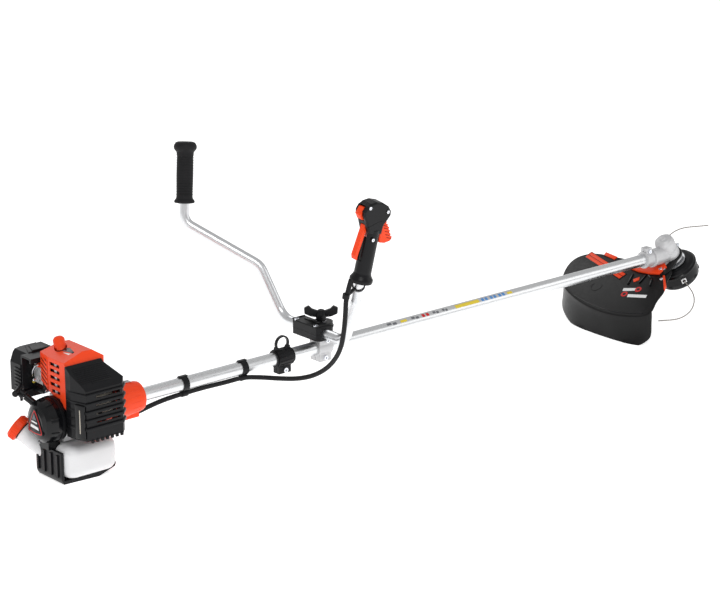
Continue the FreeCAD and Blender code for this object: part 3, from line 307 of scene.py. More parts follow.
CAD_FINISHES: dict[Finish, tuple[str, ...]] = {
    ORANGE: ("engine_cover", "clutch_case", "spark_plug_cap", "fuel_cap", "throttle_trigger",
             "lockout_lever", "stop_switch"),
    BLACK: ("hanger_clamp", "mount_lower", "mount_cap", "clamp_knob", "throttle_housing",
            "bar_cable_clip", "muffler_cover", "intake_insulator", "air_cleaner_base",
            "air_cleaner_cover", "air_cleaner_knob", "choke_lever", "starter_reel",
            "starter_handle", "tank_stand", "head_shell", "spool_knob", "cable_clips"),
    BLACK_GLOSS: ("starter_housing",),
    BLACK_SATIN: ("guard", "guard_bracket"),
    RUBBER: ("left_grip", "fuel_cap_gasket", "primer_bulb"),
    TUBE: ("main_tube",),
    BAR: ("handlebar",),
    CAST: ("bracket_casting", "crankcase", "cylinder", "piston", "carburettor", "gear_case",
           "flywheel_fan"),
    STEEL: ("drive_shaft", "shaft_bearings", "clutch_drum", "clutch_shoes", "crankshaft",
            "spark_plug", "pinion_gear", "output_gear", "holder_plate", "line_cutter",
            "throttle_valve_lever", "clamp_washer"),
    HOT_STEEL: ("muffler",),
    ZINC: ("machine_screws", "handle_screws"),
    TANK: ("fuel_tank",),
    FOAM: ("air_filter",),
}


def dress_frame() -> None:
    """Gives every node of the frame its finish."""
    for finish, names in CAD_FINISHES.items():
        for name in names:
            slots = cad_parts[name].data.materials
            slots.clear()
            slots.append(finish.material())
    LOG.info("frame dressed")


# Mesh building

class Shape:
    """A mesh made of closed solids, in the millimetres of its place."""

    def __init__(self) -> None:
        """Starts with nothing."""
        self.solids = bmesh.new()

    def _add(self, solid: bmesh.types.BMesh, bevel: float, steps: int = 2) -> "Shape":
        """Rounds a solid's edges and takes it in.

        Args:
            solid: the solid, freed afterwards.
            bevel: the rounding's width, or 0.
            steps: faces across the rounding.

        Returns:
            This shape.
        """
        bmesh.ops.remove_doubles(solid, verts=solid.verts, dist=1e-4)
        bmesh.ops.recalc_face_normals(solid, faces=solid.faces)
        if bevel:
            sharp = [e for e in solid.edges if e.calc_face_angle(0) > math.radians(28)]
            bmesh.ops.bevel(solid, geom=sharp, offset=bevel, segments=steps, profile=0.5,
                            affect="EDGES", clamp_overlap=True)
        mesh = bpy.data.meshes.new("solid")
        solid.to_mesh(mesh)
        solid.free()
        self.solids.from_mesh(mesh)
        bpy.data.meshes.remove(mesh)
        return self

    @staticmethod
    def _skin(solid: bmesh.types.BMesh, rings: Sequence[Sequence[bmesh.types.BMVert]]) -> None:
        """Covers a stack of rings and closes its ends.

        Args:
            solid: what the faces are added to.
            rings: the rings of points, each as long as the others.
        """
        for low, high in zip(rings, rings[1:]):
            for k in range(len(low)):
                solid.faces.new((low[k - 1], low[k], high[k], high[k - 1]))
        solid.faces.new(rings[0])
        solid.faces.new(rings[-1])

    def prism(self, outline: Sequence[Point], push: Point, bevel: float = 0.0) -> "Shape":
        """Adds a flat outline pushed along a direction.

        Args:
            outline: corners in one plane.
            push: the thickness, as a vector.
            bevel: width of the edges' rounding.

        Returns:
            This shape.
        """
        solid = bmesh.new()
        low = [solid.verts.new(point) for point in outline]
        high = [solid.verts.new(Vector(point) + Vector(push)) for point in outline]
        solid.faces.new(low)
        solid.faces.new(reversed(high))
        for first, second in zip(range(-1, len(low) - 1), range(len(low))):
            solid.faces.new((low[second], low[first], high[first], high[second]))
        return self._add(solid, bevel)

    def box(self, low: Point, high: Point, bevel: float = 0.0) -> "Shape":
        """Adds a box between two corners.

        Args:
            low: its lowest corner.
            high: its highest corner.
            bevel: width of the edges' rounding.

        Returns:
            This shape.
        """
        outline = [(low[0], low[1]), (high[0], low[1]), (high[0], high[1]), (low[0], high[1])]
        return self.plate(outline, low[2], high[2] - low[2], bevel)

    def plate(self, outline: Sequence[tuple[float, float]], level: float, height: float,
              bevel: float = 0.0) -> "Shape":
        """Adds a level plate.

        Args:
            outline: its (x, y) corners.
            level: z of its underside.
            height: its thickness.
            bevel: width of the edges' rounding.

        Returns:
            This shape.
        """
        return self.prism([(x, y, level) for x, y in outline], (0, 0, height), bevel)

    def lathe(self, profile: Sequence[tuple[float, float]], place: Matrix = Matrix.Identity(4),
              sides: int = 48, bevel: float = 0.0) -> "Shape":
        """Adds a solid of revolution.

        Args:
            profile: (height, radius) pairs; the ends are closed.
            place: where its axis lies.
            sides: faces round it.
            bevel: width of the edges' rounding.

        Returns:
            This shape.
        """
        solid = bmesh.new()
        rings = []
        for height, radius in profile:
            spots = [(radius * math.cos(turn), radius * math.sin(turn), height)
                     for turn in (math.tau * k / sides for k in range(sides))]
            rings.append([solid.verts.new(place @ Vector(spot)) for spot in spots])
        self._skin(solid, rings)
        return self._add(solid, bevel)

    def sweep(self, path: Sequence[Point], radius: float, sides: int = 12) -> "Shape":
        """Adds a round rod along a path.

        Args:
            path: the points that it follows.
            radius: its radius.
            sides: faces round it.

        Returns:
            This shape.
        """
        points = [Vector(point) for point in path]
        solid = bmesh.new()
        rings = []
        way = (points[1] - points[0]).normalized()
        across = way.orthogonal().normalized()
        for k, point in enumerate(points):
            ahead = points[min(k + 1, len(points) - 1)] - points[max(k - 1, 0)]
            ahead.normalize()
            across = (across - ahead * across.dot(ahead)).normalized()
            other = ahead.cross(across)
            rings.append([
                solid.verts.new(point + (across * math.cos(turn) + other * math.sin(turn)) * radius)
                for turn in (math.tau * j / sides for j in range(sides))])
        self._skin(solid, rings)
        return self._add(solid, 0.0)

    def mesh(self, name: str) -> bpy.types.Mesh:
        """Gives the shape as a mesh and frees it."""
        mesh = bpy.data.meshes.new(name)
        bmesh.ops.recalc_face_normals(self.solids, faces=self.solids.faces)
        self.solids.to_mesh(mesh)
        self.solids.free()
        return mesh

    def dress(self, name: str, finish: Finish, place: Matrix,
              body: str = "machine") -> bpy.types.Object:
        """Makes the shape a finished piece.

        Args:
            name: the piece's name.
            finish: its finish.
            place: the matrix to the frame's metres.
            body: the body that it rides on.

        Returns:
            The new object.
        """
        return finish_piece(name, self.mesh(name), finish, place, body)


def finish_piece(name: str, mesh: bpy.types.Mesh, finish: Finish, place: Matrix, body: str,
                 sharp: float = 35.0) -> bpy.types.Object:
    """Puts a mesh in its place, dresses it and lets it ride.

    Args:
        name: the piece's name.
        mesh: its mesh, in the millimetres of its place.
        finish: its finish.
        place: the matrix to the frame's metres.
        body: the body that it rides on.
        sharp: edges sharper than this many degrees stay sharp.

    Returns:
        The new object, at the origin.
    """
    mesh.transform(place)
    mesh.materials.clear()
    mesh.materials.append(finish.material())
    mesh.shade_smooth()
    mesh.set_sharp_from_angle(angle=math.radians(sharp))
    piece = bpy.data.objects.new(name, mesh)
    bpy.context.scene.collection.objects.link(piece)
    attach(piece, body)
    LOG.info("piece %s on %s", name, body)
    return piece


# Geometry node trees

STRAND_STEP = 0.0012


def new_tree(name: str, inputs: Sequence[tuple[str, str]]) -> tuple[
        bpy.types.NodeTree, bpy.types.Node, bpy.types.Node]:
    """Starts a geometry node tree with named inputs.

    Args:
        name: the tree's name.
        inputs: (name, socket type) pairs after the geometry.

    Returns:
        The tree, its input node and its output node.
    """
    tree = bpy.data.node_groups.new(name, "GeometryNodeTree")
    tree.interface.new_socket("Geometry", in_out="INPUT", socket_type="NodeSocketGeometry")
    for label, kind in inputs:
        tree.interface.new_socket(label, in_out="INPUT", socket_type=kind)
    tree.interface.new_socket("Geometry", in_out="OUTPUT", socket_type="NodeSocketGeometry")
    return tree, tree.nodes.new("NodeGroupInput"), tree.nodes.new("NodeGroupOutput")


def repeat_tree() -> bpy.types.NodeTree:
    """Copies a unit along a line, each copy turned further than the last.

    Returns:
        The tree, made on its first use.
    """
    found = bpy.data.node_groups.get("repeat_unit")
    if found:
        return found
    tree, source, result = new_tree("repeat_unit", (
        ("Count", "NodeSocketInt"), ("Step", "NodeSocketVector"), ("Turn", "NodeSocketVector"),
        ("Material", "NodeSocketMaterial")))
    line = tree.nodes.new("GeometryNodeMeshLine")
    index = tree.nodes.new("GeometryNodeInputIndex")
    turn = tree.nodes.new("ShaderNodeVectorMath")
    turn.operation = "SCALE"
    copies = tree.nodes.new("GeometryNodeInstanceOnPoints")
    wire(tree, (source, "Count", line, "Count"), (source, "Step", line, "Offset"),
         (source, "Turn", turn, 0), (index, "Index", turn, "Scale"),
         (line, "Mesh", copies, "Points"), (source, "Geometry", copies, "Instance"),
         (turn, "Vector", copies, "Rotation"))
    finish_tree(tree, copies.outputs["Instances"], source, result)
    return tree


def strand_tree() -> bpy.types.NodeTree:
    """Sweeps a four-cornered section along a path, twisted as it goes.

    Returns:
        The tree, made on its first use.
    """
    found = bpy.data.node_groups.get("twisted_strand")
    if found:
        return found
    tree, source, result = new_tree("twisted_strand", (
        ("Width", "NodeSocketFloat"), ("Twist", "NodeSocketFloat"),
        ("Material", "NodeSocketMaterial")))
    curve = tree.nodes.new("GeometryNodeMeshToCurve")
    even = tree.nodes.new("GeometryNodeResampleCurve")
    even.mode = "LENGTH"
    set_inputs(even, {"Length": STRAND_STEP})
    index = tree.nodes.new("GeometryNodeInputIndex")
    turn = tree.nodes.new("ShaderNodeMath")
    turn.operation = "MULTIPLY"
    tilt = tree.nodes.new("GeometryNodeSetCurveTilt")
    section = tree.nodes.new("GeometryNodeCurvePrimitiveQuadrilateral")
    tube = tree.nodes.new("GeometryNodeCurveToMesh")
    set_inputs(tube, {"Fill Caps": True})
    wire(tree, (source, "Geometry", curve, "Mesh"), (curve, "Curve", even, "Curve"),
         (index, "Index", turn, 0), (source, "Twist", turn, 1), (even, "Curve", tilt, "Curve"),
         (turn, "Value", tilt, "Tilt"), (source, "Width", section, "Width"),
         (source, "Width", section, "Height"), (tilt, "Curve", tube, "Curve"),
         (section, "Curve", tube, "Profile Curve"))
    finish_tree(tree, tube.outputs["Mesh"], source, result)
    return tree


def finish_tree(tree: bpy.types.NodeTree, shape: bpy.types.NodeSocket, source: bpy.types.Node,
                result: bpy.types.Node) -> None:
    """Ends a tree in Realize Instances and Set Material.

    Args:
        tree: the tree.
        shape: the socket that gives its geometry.
        source: the tree's input node.
        result: the tree's output node.
    """
    real = tree.nodes.new("GeometryNodeRealizeInstances")
    dress = tree.nodes.new("GeometryNodeSetMaterial")
    tree.links.new(shape, real.inputs["Geometry"])
    wire(tree, (real, "Geometry", dress, "Geometry"), (source, "Material", dress, "Material"),
         (dress, "Geometry", result, "Geometry"))


def grow(mesh: bpy.types.Mesh, tree: bpy.types.NodeTree,
         values: dict[str, object]) -> bpy.types.Mesh:
    """Runs a geometry node tree on a mesh.

    Args:
        mesh: the tree's geometry.
        tree: the tree.
        values: its inputs by name.

    Returns:
        The result as a plain mesh.
    """
    carrier = bpy.data.objects.new("carrier", mesh)
    bpy.context.scene.collection.objects.link(carrier)
    modifier = carrier.modifiers.new("grow", "NODES")
    modifier.node_group = tree
    for item in tree.interface.items_tree:
        if item.in_out == "INPUT" and item.name in values:
            modifier[item.identifier] = values[item.name]
    bpy.context.view_layer.update()
    evaluated = carrier.evaluated_get(bpy.context.evaluated_depsgraph_get())
    result = bpy.data.meshes.new_from_object(evaluated)
    bpy.data.objects.remove(carrier)
    return result


def repeated(unit: Shape, count: int, finish: Finish, step: Point = (0, 0, 0),
             turn: Point = (0, 0, 0)) -> bpy.types.Mesh:
    """Repeats a unit with the repeat tree.

    Args:
        unit: the unit's shape.
        count: how many.
        finish: its finish.
        step: from one to the next, in millimetres.
        turn: from one to the next, in radians about x, y and z.

    Returns:
        The mesh of all of them.
    """
    values = {"Count": count, "Step": step, "Turn": turn, "Material": finish.material()}
    return grow(unit.mesh("unit"), repeat_tree(), values)


def row(name: str, unit: Shape, count: int, finish: Finish, place: Matrix,
        step: Point = (0, 0, 0), turn: Point = (0, 0, 0), body: str = "machine") -> None:
    """Repeats a unit and makes the copies one finished piece.

    Args:
        name: the piece's name.
        unit: the unit's shape.
        count: how many.
        finish: their finish.
        place: the matrix to the frame's metres.
        step: from one to the next, in millimetres.
        turn: from one to the next, in radians about x, y and z.
        body: the body that they ride on.
    """
    finish_piece(name, repeated(unit, count, finish, step, turn), finish, place, body)


# Camera, floor and light

@dataclass
class Studio:
    """The camera and what lights and carries the machine.

    Attributes:
        heading: degrees from straight ahead to the way the camera looks.
        height: degrees that it looks down.
        roll: degrees that it leans.
        distance: from the camera to its target, in machine millimetres.
        target: the point it looks at, in machine millimetres.
        focal: focal length in millimetres, on a sensor 36 wide.
        floor_half: half the floor's width, in metres.
        floor_glow: strength of the floor's own light.
        sky_glow: strength of the surroundings' light.
        lamps: (name, place, target, size, watts) of each lamp, in the frame's metres.
    """

    heading: float = 39.98
    height: float = 17.52
    roll: float = -0.34
    distance: float = 5647.0
    target: tuple[float, float, float] = (582.1, 0.0, 69.75)
    focal: float = 132.05
    floor_half: float = 30.0
    floor_glow: float = 0.66
    sky_glow: float = 0.55
    lamps: tuple[tuple[str, Point, Point, float, float], ...] = (
        ("key", (-1.2, -2.6, 3.2), (0.9, 0.0, 0.2), 1.6, 44.0),
        ("fill", (3.6, -2.4, 1.8), (1.2, 0.0, 0.2), 2.0, 13.0),
        ("rim", (1.6, 3.2, 2.6), (0.8, 0.0, 0.2), 1.8, 14.0))

    def build(self) -> None:
        """Makes the camera, the floor and the lights."""
        self._camera()
        self._floor()
        self._lights()
        LOG.info("studio ready")

    def _camera(self) -> None:
        """Makes the camera and gives it to the scene."""
        turn, fall, roll = (math.radians(v) for v in (self.heading, self.height, self.roll))
        back = Vector((-math.sin(turn) * math.cos(fall), -math.cos(turn) * math.cos(fall),
                       math.sin(fall)))
        right = Vector((math.cos(turn), -math.sin(turn), 0))
        up = back.cross(right)
        right, up = (right * math.cos(roll) + up * math.sin(roll),
                     up * math.cos(roll) - right * math.sin(roll))
        axes = Matrix((right, up, back)).transposed()
        lean = Matrix.Rotation(-LEAN, 3, "Y")
        data = bpy.data.cameras.new("camera")
        data.lens = self.focal
        data.sensor_width = 36.0
        data.clip_end = 60.0
        camera = bpy.data.objects.new("camera", data)
        place = (lean @ axes).to_4x4()
        place.translation = machine_place() @ (Vector(self.target) + back * self.distance)
        camera.matrix_world = place
        bpy.context.scene.collection.objects.link(camera)
        bpy.context.scene.camera = camera

    def _floor(self) -> None:
        """Makes the plain pale floor."""
        half = self.floor_half
        mesh = bpy.data.meshes.new("floor")
        corners = [(-half, -half, 0), (half, -half, 0), (half, half, 0), (-half, half, 0)]
        mesh.from_pydata(corners, [], [(0, 1, 2, 3)])
        floor = bpy.data.objects.new("floor", mesh)
        material = bpy.data.materials.new("floor")
        material.use_nodes = True
        set_inputs(material.node_tree.nodes["Principled BSDF"], {
            "Base Color": (0.94, 0.94, 0.94, 1), "Roughness": 0.9,
            "Emission Color": (1, 1, 1, 1), "Emission Strength": self.floor_glow})
        mesh.materials.append(material)
        bpy.context.scene.collection.objects.link(floor)

    def _lights(self) -> None:
        """Makes the pale surroundings and three large soft lights."""
        world = bpy.data.worlds.new("studio")
        world.use_nodes = True
        set_inputs(world.node_tree.nodes["Background"], {
            "Color": (1, 1, 1, 1), "Strength": self.sky_glow})
        bpy.context.scene.world = world
        bpy.context.scene.view_settings.view_transform = "Standard"
        for name, spot, aim, size, power in self.lamps:
            data = bpy.data.lights.new(name, "AREA")
            data.energy = power
            data.size = size
            lamp = bpy.data.objects.new(name, data)
            lamp.location = spot
            lamp.rotation_euler = (Vector(aim) - Vector(spot)).to_track_quat("-Z", "Y").to_euler()
            bpy.context.scene.collection.objects.link(lamp)


# Cords

def cord_line(name: str, route: Sequence[Vector]) -> bpy.types.Mesh:
    """Draws a cord's smooth line.

    Args:
        name: the cord's name.
        route: its control points, in the frame's metres.

    Returns:
        A mesh of the line's points, in order.
    """
    curve = bpy.data.curves.new(name, "CURVE")
    curve.dimensions = "3D"
    spline = curve.splines.new("NURBS")
    spline.points.add(len(route) - 1)
    for control, point in zip(spline.points, route):
        control.co = (*point, 1)
    spline.order_u = 3
    spline.use_endpoint_u = True
    spline.resolution_u = 16
    holder = bpy.data.objects.new(name + "_line", curve)
    line = bpy.data.meshes.new_from_object(holder)
    bpy.data.objects.remove(holder)
    return line


def line_length(points: Sequence[Vector]) -> float:
    """Gives the length of a line through points."""
    return sum((second - first).length for first, second in zip(points, points[1:]))


@dataclass
class Cords:
    """The control cable, the starter rope and the two cutting lines.

    Attributes:
        cable_exit: where the cable leaves the throttle handle, in that handle's metres.
        cable_radius: the cable's radius.
        cable_route: its control points after its exit, in the machine's metres.
        line_level: depth of the cutting lines below the gear case's middle.
        line_width: side of their square section.
        line_rear: the rear line's (back, left) points after its eyelet, in metres.
        line_front: the front line's.
        rope_exit: where the starter rope leaves its rod, in the machine's metres.
        rope_way: the direction in which it leaves.
    """

    cable_exit: tuple[float, float, float] = (-0.016, 0.007, 0.003)
    cable_radius: float = 0.005
    cable_route: tuple[tuple[float, float, float], ...] = (
        (0.309, -0.283, 0.212), (0.312, -0.277, 0.172), (0.316, -0.267, 0.133),
        (0.324, -0.249, 0.095), (0.333, -0.220, 0.060), (0.338, -0.184, 0.028),
        (0.336, -0.144, 0.003), (0.327, -0.104, -0.012), (0.313, -0.063, -0.019),
        (0.291, -0.027, -0.0205), (0.262, -0.003, -0.020), (0.216, -0.0034, -0.0206),
        (0.163, -0.0026, -0.0194), (0.110, -0.003, -0.020), (0.062, -0.0034, -0.022),
        (0.028, -0.003, -0.0265), (-0.012, -0.003, -0.034))
    line_level: float = 0.054
    line_width: float = 0.00235
    line_rear: tuple[tuple[float, float], ...] = (
        (0.036, -0.070), (0.055, -0.103), (0.080, -0.125), (0.106, -0.134), (0.127, -0.129),
        (0.141, -0.115), (0.150, -0.096), (0.159, -0.076))
    line_front: tuple[tuple[float, float], ...] = (
        (-0.041, 0.072), (-0.064, 0.095), (-0.090, 0.104), (-0.113, 0.100), (-0.130, 0.086),
        (-0.141, 0.064), (-0.150, 0.044), (-0.158, 0.027))
    rope_exit: tuple[float, float, float] = (-0.240, 0.044, 0.042)
    rope_way: tuple[float, float, float] = (-0.52, 0.60, 0.61)

    def build(self) -> None:
        """Makes each cord."""
        self._cable()
        self._rope()
        self._lines()

    def _cable(self) -> None:
        """Makes the control cable, which bends between the machine and the handlebar."""
        machine, grip = machine_place(), grip_place(-1)
        route = [grip @ (Vector(self.cable_exit) / MM)]
        route += [machine @ (Vector(point) / MM) for point in self.cable_route]
        line = cord_line("control_cable", route)
        points = [vertex.co.copy() for vertex in line.vertices]
        tube = Shape().sweep(points, self.cable_radius, 20).mesh("control_cable")
        cable = dressed_cord("control_cable_run", tube, RUBBER)
        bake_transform(cable)
        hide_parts("control_cable")
        LOG.info("control cable, %.3f m", line_length(points))

    def _rope(self) -> None:
        """Makes the short stretch of starter rope between the housing and its handle."""
        machine = machine_place()
        way = Vector(self.rope_way).normalized()
        start = Vector(self.rope_exit) / MM - way * 19.9
        points = [machine @ (start + way * along) for along in (0.0, 6.0, 12.0, 19.0, 22.8)]
        strand = Shape().sweep(points, 0.0018, 16).mesh("starter_rope_run")
        rope = dressed_cord("starter_rope_run", strand, ROPE)
        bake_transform(rope)
        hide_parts("starter_rope")
        LOG.info("starter rope")

    def _lines(self) -> None:
        """Makes the two cutting lines, twisted square nylon."""
        head = head_place()
        for name, turns, sign in (("rear", self.line_rear, -1), ("front", self.line_front, 1)):
            flat = [(0.025 * sign, 0.046 * sign)] + [(-back, left) for back, left in turns]
            route = [head @ (Vector((x, y, -self.line_level)) / MM) for x, y in flat]
            line = cord_line("trimmer_line_" + name, route)
            values = {"Width": self.line_width, "Twist": 0.42, "Material": LINE.material()}
            strand = grow(line, strand_tree(), values)
            piece = dressed_cord("trimmer_line_" + name, strand, LINE)
            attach(piece, "cutter_head")
            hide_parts("trimmer_lines")


def dressed_cord(name: str, mesh: bpy.types.Mesh, finish: Finish) -> bpy.types.Object:
    """Gives a cord's mesh its finish and its object.

    Args:
        name: the piece's name.
        mesh: its mesh, in the frame's metres.
        finish: its finish.

    Returns:
        The new object, which rides on nothing yet.
    """
    mesh.materials.clear()
    mesh.materials.append(finish.material())
    mesh.shade_smooth()
    mesh.set_sharp_from_angle(angle=math.radians(50))
    piece = bpy.data.objects.new(name, mesh)
    bpy.context.scene.collection.objects.link(piece)
    return piece


# Sub-assemblies

@dataclass
class EngineLook:
    """Details of the engine cover, the muffler cover, the air cleaner and the clutch case.

    Attributes:
        muffler_side: y of the muffler cover's outer side.
        fin_pitch: from one louvre fin to the next.
        cleaner_rear: x of the air cleaner's rear face.
        cylinder_x: x of the cylinder's axis.
    """

    muffler_side: float = -97.0
    fin_pitch: float = 17.0
    cleaner_rear: float = -218.0
    cylinder_x: float = -172.0

    def build(self) -> None:
        """Makes every piece."""
        self._cover_side()
        self._cover_roof()
        self._cover_trim()
        self._fins()
        self._muffler_hood()
        self._muffler_pillar()
        self._cleaner()
        self._carburettor()
        self._clutch_case()

    def _cover_side(self) -> None:
        """Makes the slanted face's recess, painted black as painted shade between the ribs, and its
        slanting ribs.
        """
        first, last = Vector((-199.7, 22.0, 0)), Vector((-195.4, 51.0, 0))
        way = (last - first).normalized()
        out = Vector((-way.y, way.x, 0))
        place = machine_place()
        # The recess panel is black: painted shade in the gaps between the orange ribs.
        panel = Shape()
        corners = [first + lift(54), last + lift(65), last + lift(117), first + lift(112)]
        panel.prism([c + out * 0.25 for c in corners], out * -0.8)
        panel.dress("cover_recess", BLACK, place)
        rim_shape = Shape()
        rim = ((first, first + way * 2.0, 53, 119), (last - way * 2.0, last, 64, 120))
        for start, end, low, high in rim:
            rim_shape.prism([start + lift(low), end + lift(low),
                               end + lift(high), start + lift(high)], out * 1.2, 0.4)
        rim_shape.dress("cover_recess_rim", ORANGE, place)
        rib = Shape()
        start, end = first + way * 1.5, last - way * 1.5
        rib.prism([start + lift(61), start + lift(55.5), end + lift(66),
                   end + lift(71.5)], out * 1.6, 0.4)
        row("cover_ribs", rib, 6, ORANGE, place, step=(0, 0, 9.6))

    def _cover_roof(self) -> None:
        """Makes the dark panel on the roof with plain pale marks."""
        slope = Matrix.Rotation(-math.atan2(15.0, 50.0), 4, "Y")
        place = machine_place() @ Matrix.Translation((-200.0, 0, 119.0)) @ slope
        panel = Shape().plate([(3, -22), (40, -18), (47, 6), (40, 22), (3, 25)], 0.1, 0.7, 0.2)
        panel.dress("roof_panel", BLACK_GLOSS, place)
        marks = Shape()
        marks.plate([(7, -20), (20, -17), (13, -8), (20, -2), (7, 4)], 0.9, 0.25)
        marks.plate([(24, -16), (33, -15), (27, 8), (20, 8)], 0.9, 0.25)
        marks.dress("roof_marks", WHITE, place)
        stripe = Shape().plate([(36, -14), (39, -13), (34, 10), (31, 10)], 0.9, 0.25)
        stripe.dress("roof_stripe", GREY, place)

    def _cover_trim(self) -> None:
        """Makes the cover's rear ridge, its step and a black sheet behind the slots as painted shade.
        """
        place = machine_place()
        trim = Shape()
        trim.prism([(-201.2, -41.5, 31), (-201.2, -37.5, 31), (-201.2, -37.5, 113),
                    (-201.2, -41.5, 108)], (2.4, 0, 0), 0.7)
        trim.prism([(-201.0, -41, 30), (-201.0, -20, 37), (-201.0, -20, 34.5), (-201.0, -41, 26.5)],
                   (2.0, 0, 0), 0.5)
        trim.prism([(-178, -47, 107.5), (-150, -47, 107.5), (-146, -47, 100.5), (-182, -47, 100.5)],
                   (0, 10, 0), 0.8)
        trim.dress("cover_trim", ORANGE, place)
        # A black sheet behind the slots: painted shade inside the cover.
        back = Shape().box((-195.6, -24, 34), (-194.6, 18, 116))
        back.dress("slot_painted_shade", BLACK, place)

    def _fins(self) -> None:
        """Makes the louvre fins that wrap round the muffler cover."""
        side = self.muffler_side
        outer = [(-204.5, -47), (-204.5, -61), (-193.5, side - 4), (-106, side - 4), (-90.5, -86),
                 (-90.5, -47)]
        inner = [(-100, -47), (-100, -82), (-112, side + 2.2), (-188, side + 2.2), (-199.5, -62),
                 (-199.5, -47)]
        fin = Shape().plate(outer + inner, -4.4, 6.4, 1.4)
        row("muffler_fins", fin, 4, BLACK, machine_place(), step=(0, 0, self.fin_pitch))
        lip = Shape().plate(outer + inner, 66.0, 5.5, 1.8)
        lip.dress("muffler_lip", BLACK, machine_place())
        tooth = Shape().box((-182, side - 1.6, -31), (-176, side + 3.0, -24), 0.8)
        row("muffler_teeth", tooth, 7, BLACK, machine_place(), step=(11.5, 0, 0))

    def _muffler_hood(self) -> None:
        """Makes the fine ridges and the long slot on the muffler cover's roof."""
        low, high = Vector((0, -92.0, 82.0)), Vector((0, -45.0, 117.0))
        way = (high - low).normalized()
        out = Vector((0, -way.z, way.y))
        place = machine_place()
        ridge, slot = Shape(), Shape()
        for strip, up, width, ends, height, bevel in ((ridge, 12, 1.6, (-193, -122), 0.9, 0.3),
                                                      (slot, 7, 3.4, (-168, -124), 0.5, 0.2)):
            start = low + way * up
            back, front = (Vector((x, 0, 0)) for x in ends)
            strip.prism([start + back, start + front, start + way * width + front,
                         start + way * width + back], out * height, bevel)
        row("hood_ridges", ridge, 9, BLACK, place, step=tuple(way * 4.6))
        slot.dress("hood_slot", BLACK_GLOSS, place)

    def _muffler_pillar(self) -> None:
        """Makes the upright pillar at the muffler cover's rear corner, with its slot."""
        way = Vector((11.0, -37.0, 0)).normalized()
        out = Vector((way.y, -way.x, 0))
        start = Vector((-203.0, -60.0, 0)) + way * 13
        place = machine_place()
        pillar = Shape()
        pillar.prism([start + lift(-22), start + way * 24 + lift(-22),
                      start + way * 24 + lift(49), start + lift(49)], out * 6.0, 2.2)
        pillar.dress("muffler_pillar", BLACK_GLOSS, place)
        slit = Shape()
        mid = start + way * 12
        slit.prism([mid + lift(-10), mid + way * 2.6 + lift(-10),
                    mid + way * 2.6 + lift(39), mid + lift(39)], out * 6.35, 0.6)
        slit.dress("pillar_slit", HOT_STEEL, place)

    def _cleaner(self) -> None:
        """Makes the air cleaner's rear ribs, its roof steps and the flutes on its side."""
        place = machine_place()
        rear = self.cleaner_rear
        rib = Shape().box((rear - 2.2, 94, 26), (rear + 3, 113, 29.6), 0.8)
        row("cleaner_ribs", rib, 8, BLACK, place, step=(0, 0, 7.4))
        step = Shape()
        step.plate([(-199, 90), (-140, 90), (-140, 134), (-180, 134)], 107.5, 4.6, 1.6)
        step.plate([(-190, 90), (-146, 90), (-146, 126), (-176, 126)], 111.5, 3.0, 1.2)
        step.box((-216, 56, 99), (-150, 62, 108), 1.2)
        step.dress("cleaner_steps", BLACK, place)
        side = Shape().box((-210, 136.6, 26), (-207, 139.4, 84), 0.8)
        row("cleaner_flutes", side, 6, BLACK, place, step=(11.4, 0, 0))

    def _carburettor(self) -> None:
        """Makes what shows in the gap in front of the air cleaner: screws, rods and caps."""
        place, x = machine_place(), self.cylinder_x
        steel = Shape()
        for y, z in ((60, 60), (82, 60), (60, 78), (82, 78)):
            steel.lathe([(0, 2.6), (1.8, 2.6), (2.4, 1.8)],
                        axis_place((x - 17, y, z), (-1, 0, 0)), 18, 0.2)
        steel.sweep([(x - 22, 62, 92), (x - 26, 70, 88), (x - 27, 78, 76), (x - 24, 84, 64)], 1.1, 8)
        steel.lathe([(0, 4.2), (3, 4.2), (3, 3.0), (9, 3.0)],
                    axis_place((x - 22, 71, 60), (-1, 0, 0)), 6, 0.3)
        steel.dress("carburettor_fittings", ZINC, place)
        coil = Shape().lathe([(0, 2.6), (0.8, 3.2), (1.6, 2.6)],
                             Matrix.Translation((x - 18, 80, 88)), 18)
        row("idle_spring", coil, 6, STEEL, place, step=(0, 0, 1.7))
        lever = Shape()
        lever.prism([(x - 24, 58, 90), (x - 14, 58, 96), (x - 10, 58, 93), (x - 21, 58, 86)],
                    (0, 12, 0), 1.0)
        lever.dress("fast_idle_lever", ORANGE, place)
        caps = Shape()
        for z in (50.0, 57.0):
            caps.lathe([(0, 2.4), (4, 2.4), (5, 1.6)],
                       axis_place((x - 17, 87 - (z - 50), z), (-1, 0, 0)), 14)
        caps.dress("mixture_caps", YELLOW, place)
        insulator = Shape().box((x - 20, 46, 44), (x - 14, 54, 92), 1.5)
        insulator.box((x - 22, 50, 34), (x - 12, 86, 40), 1.5)
        insulator.dress("intake_bracket", BLACK, place)

    def _clutch_case(self) -> None:
        """Makes the clutch case's long ribs, its front ring and its small label."""
        place = machine_place()
        ring = Shape().lathe([(0.0, 14.2), (0.0, 24.5), (1.6, 24.5), (3.0, 18.0), (3.0, 14.2)],
                             on_shaft(0), 64)
        ring.dress("case_ring", PALE, place)
        rib = Shape().prism([(-96, 38.9, -0.8), (-96, 38.9, 0.8), (-14, 31.6, 0.8),
                             (-14, 31.6, -0.8)], (0, 1.4, 0.0), 0.3)
        row("case_ribs", rib, 18, ORANGE, place, turn=(math.tau / 18, 0, 0))
        turn = Matrix.Rotation(math.radians(-6), 4, "X")
        label = Shape()
        label.prism([(-40, -8, 36.1), (-18, -8, 34.2), (-18, 8, 34.2), (-40, 8, 36.1)],
                    (0, 0, 0.6), 0.1)
        label.dress("case_label", WHITE, place @ turn)
        marks = Shape()
        marks.prism([(-37, -6, 36.5), (-30, -6, 35.9), (-30, 3, 35.9), (-37, 3, 36.5)], (0, 0, 0.5))
        marks.prism([(-27, -6, 35.6), (-21, -6, 35.1), (-21, 6, 35.1), (-27, 6, 35.6)], (0, 0, 0.5))
        marks.dress("case_marks", GREY, place @ turn)


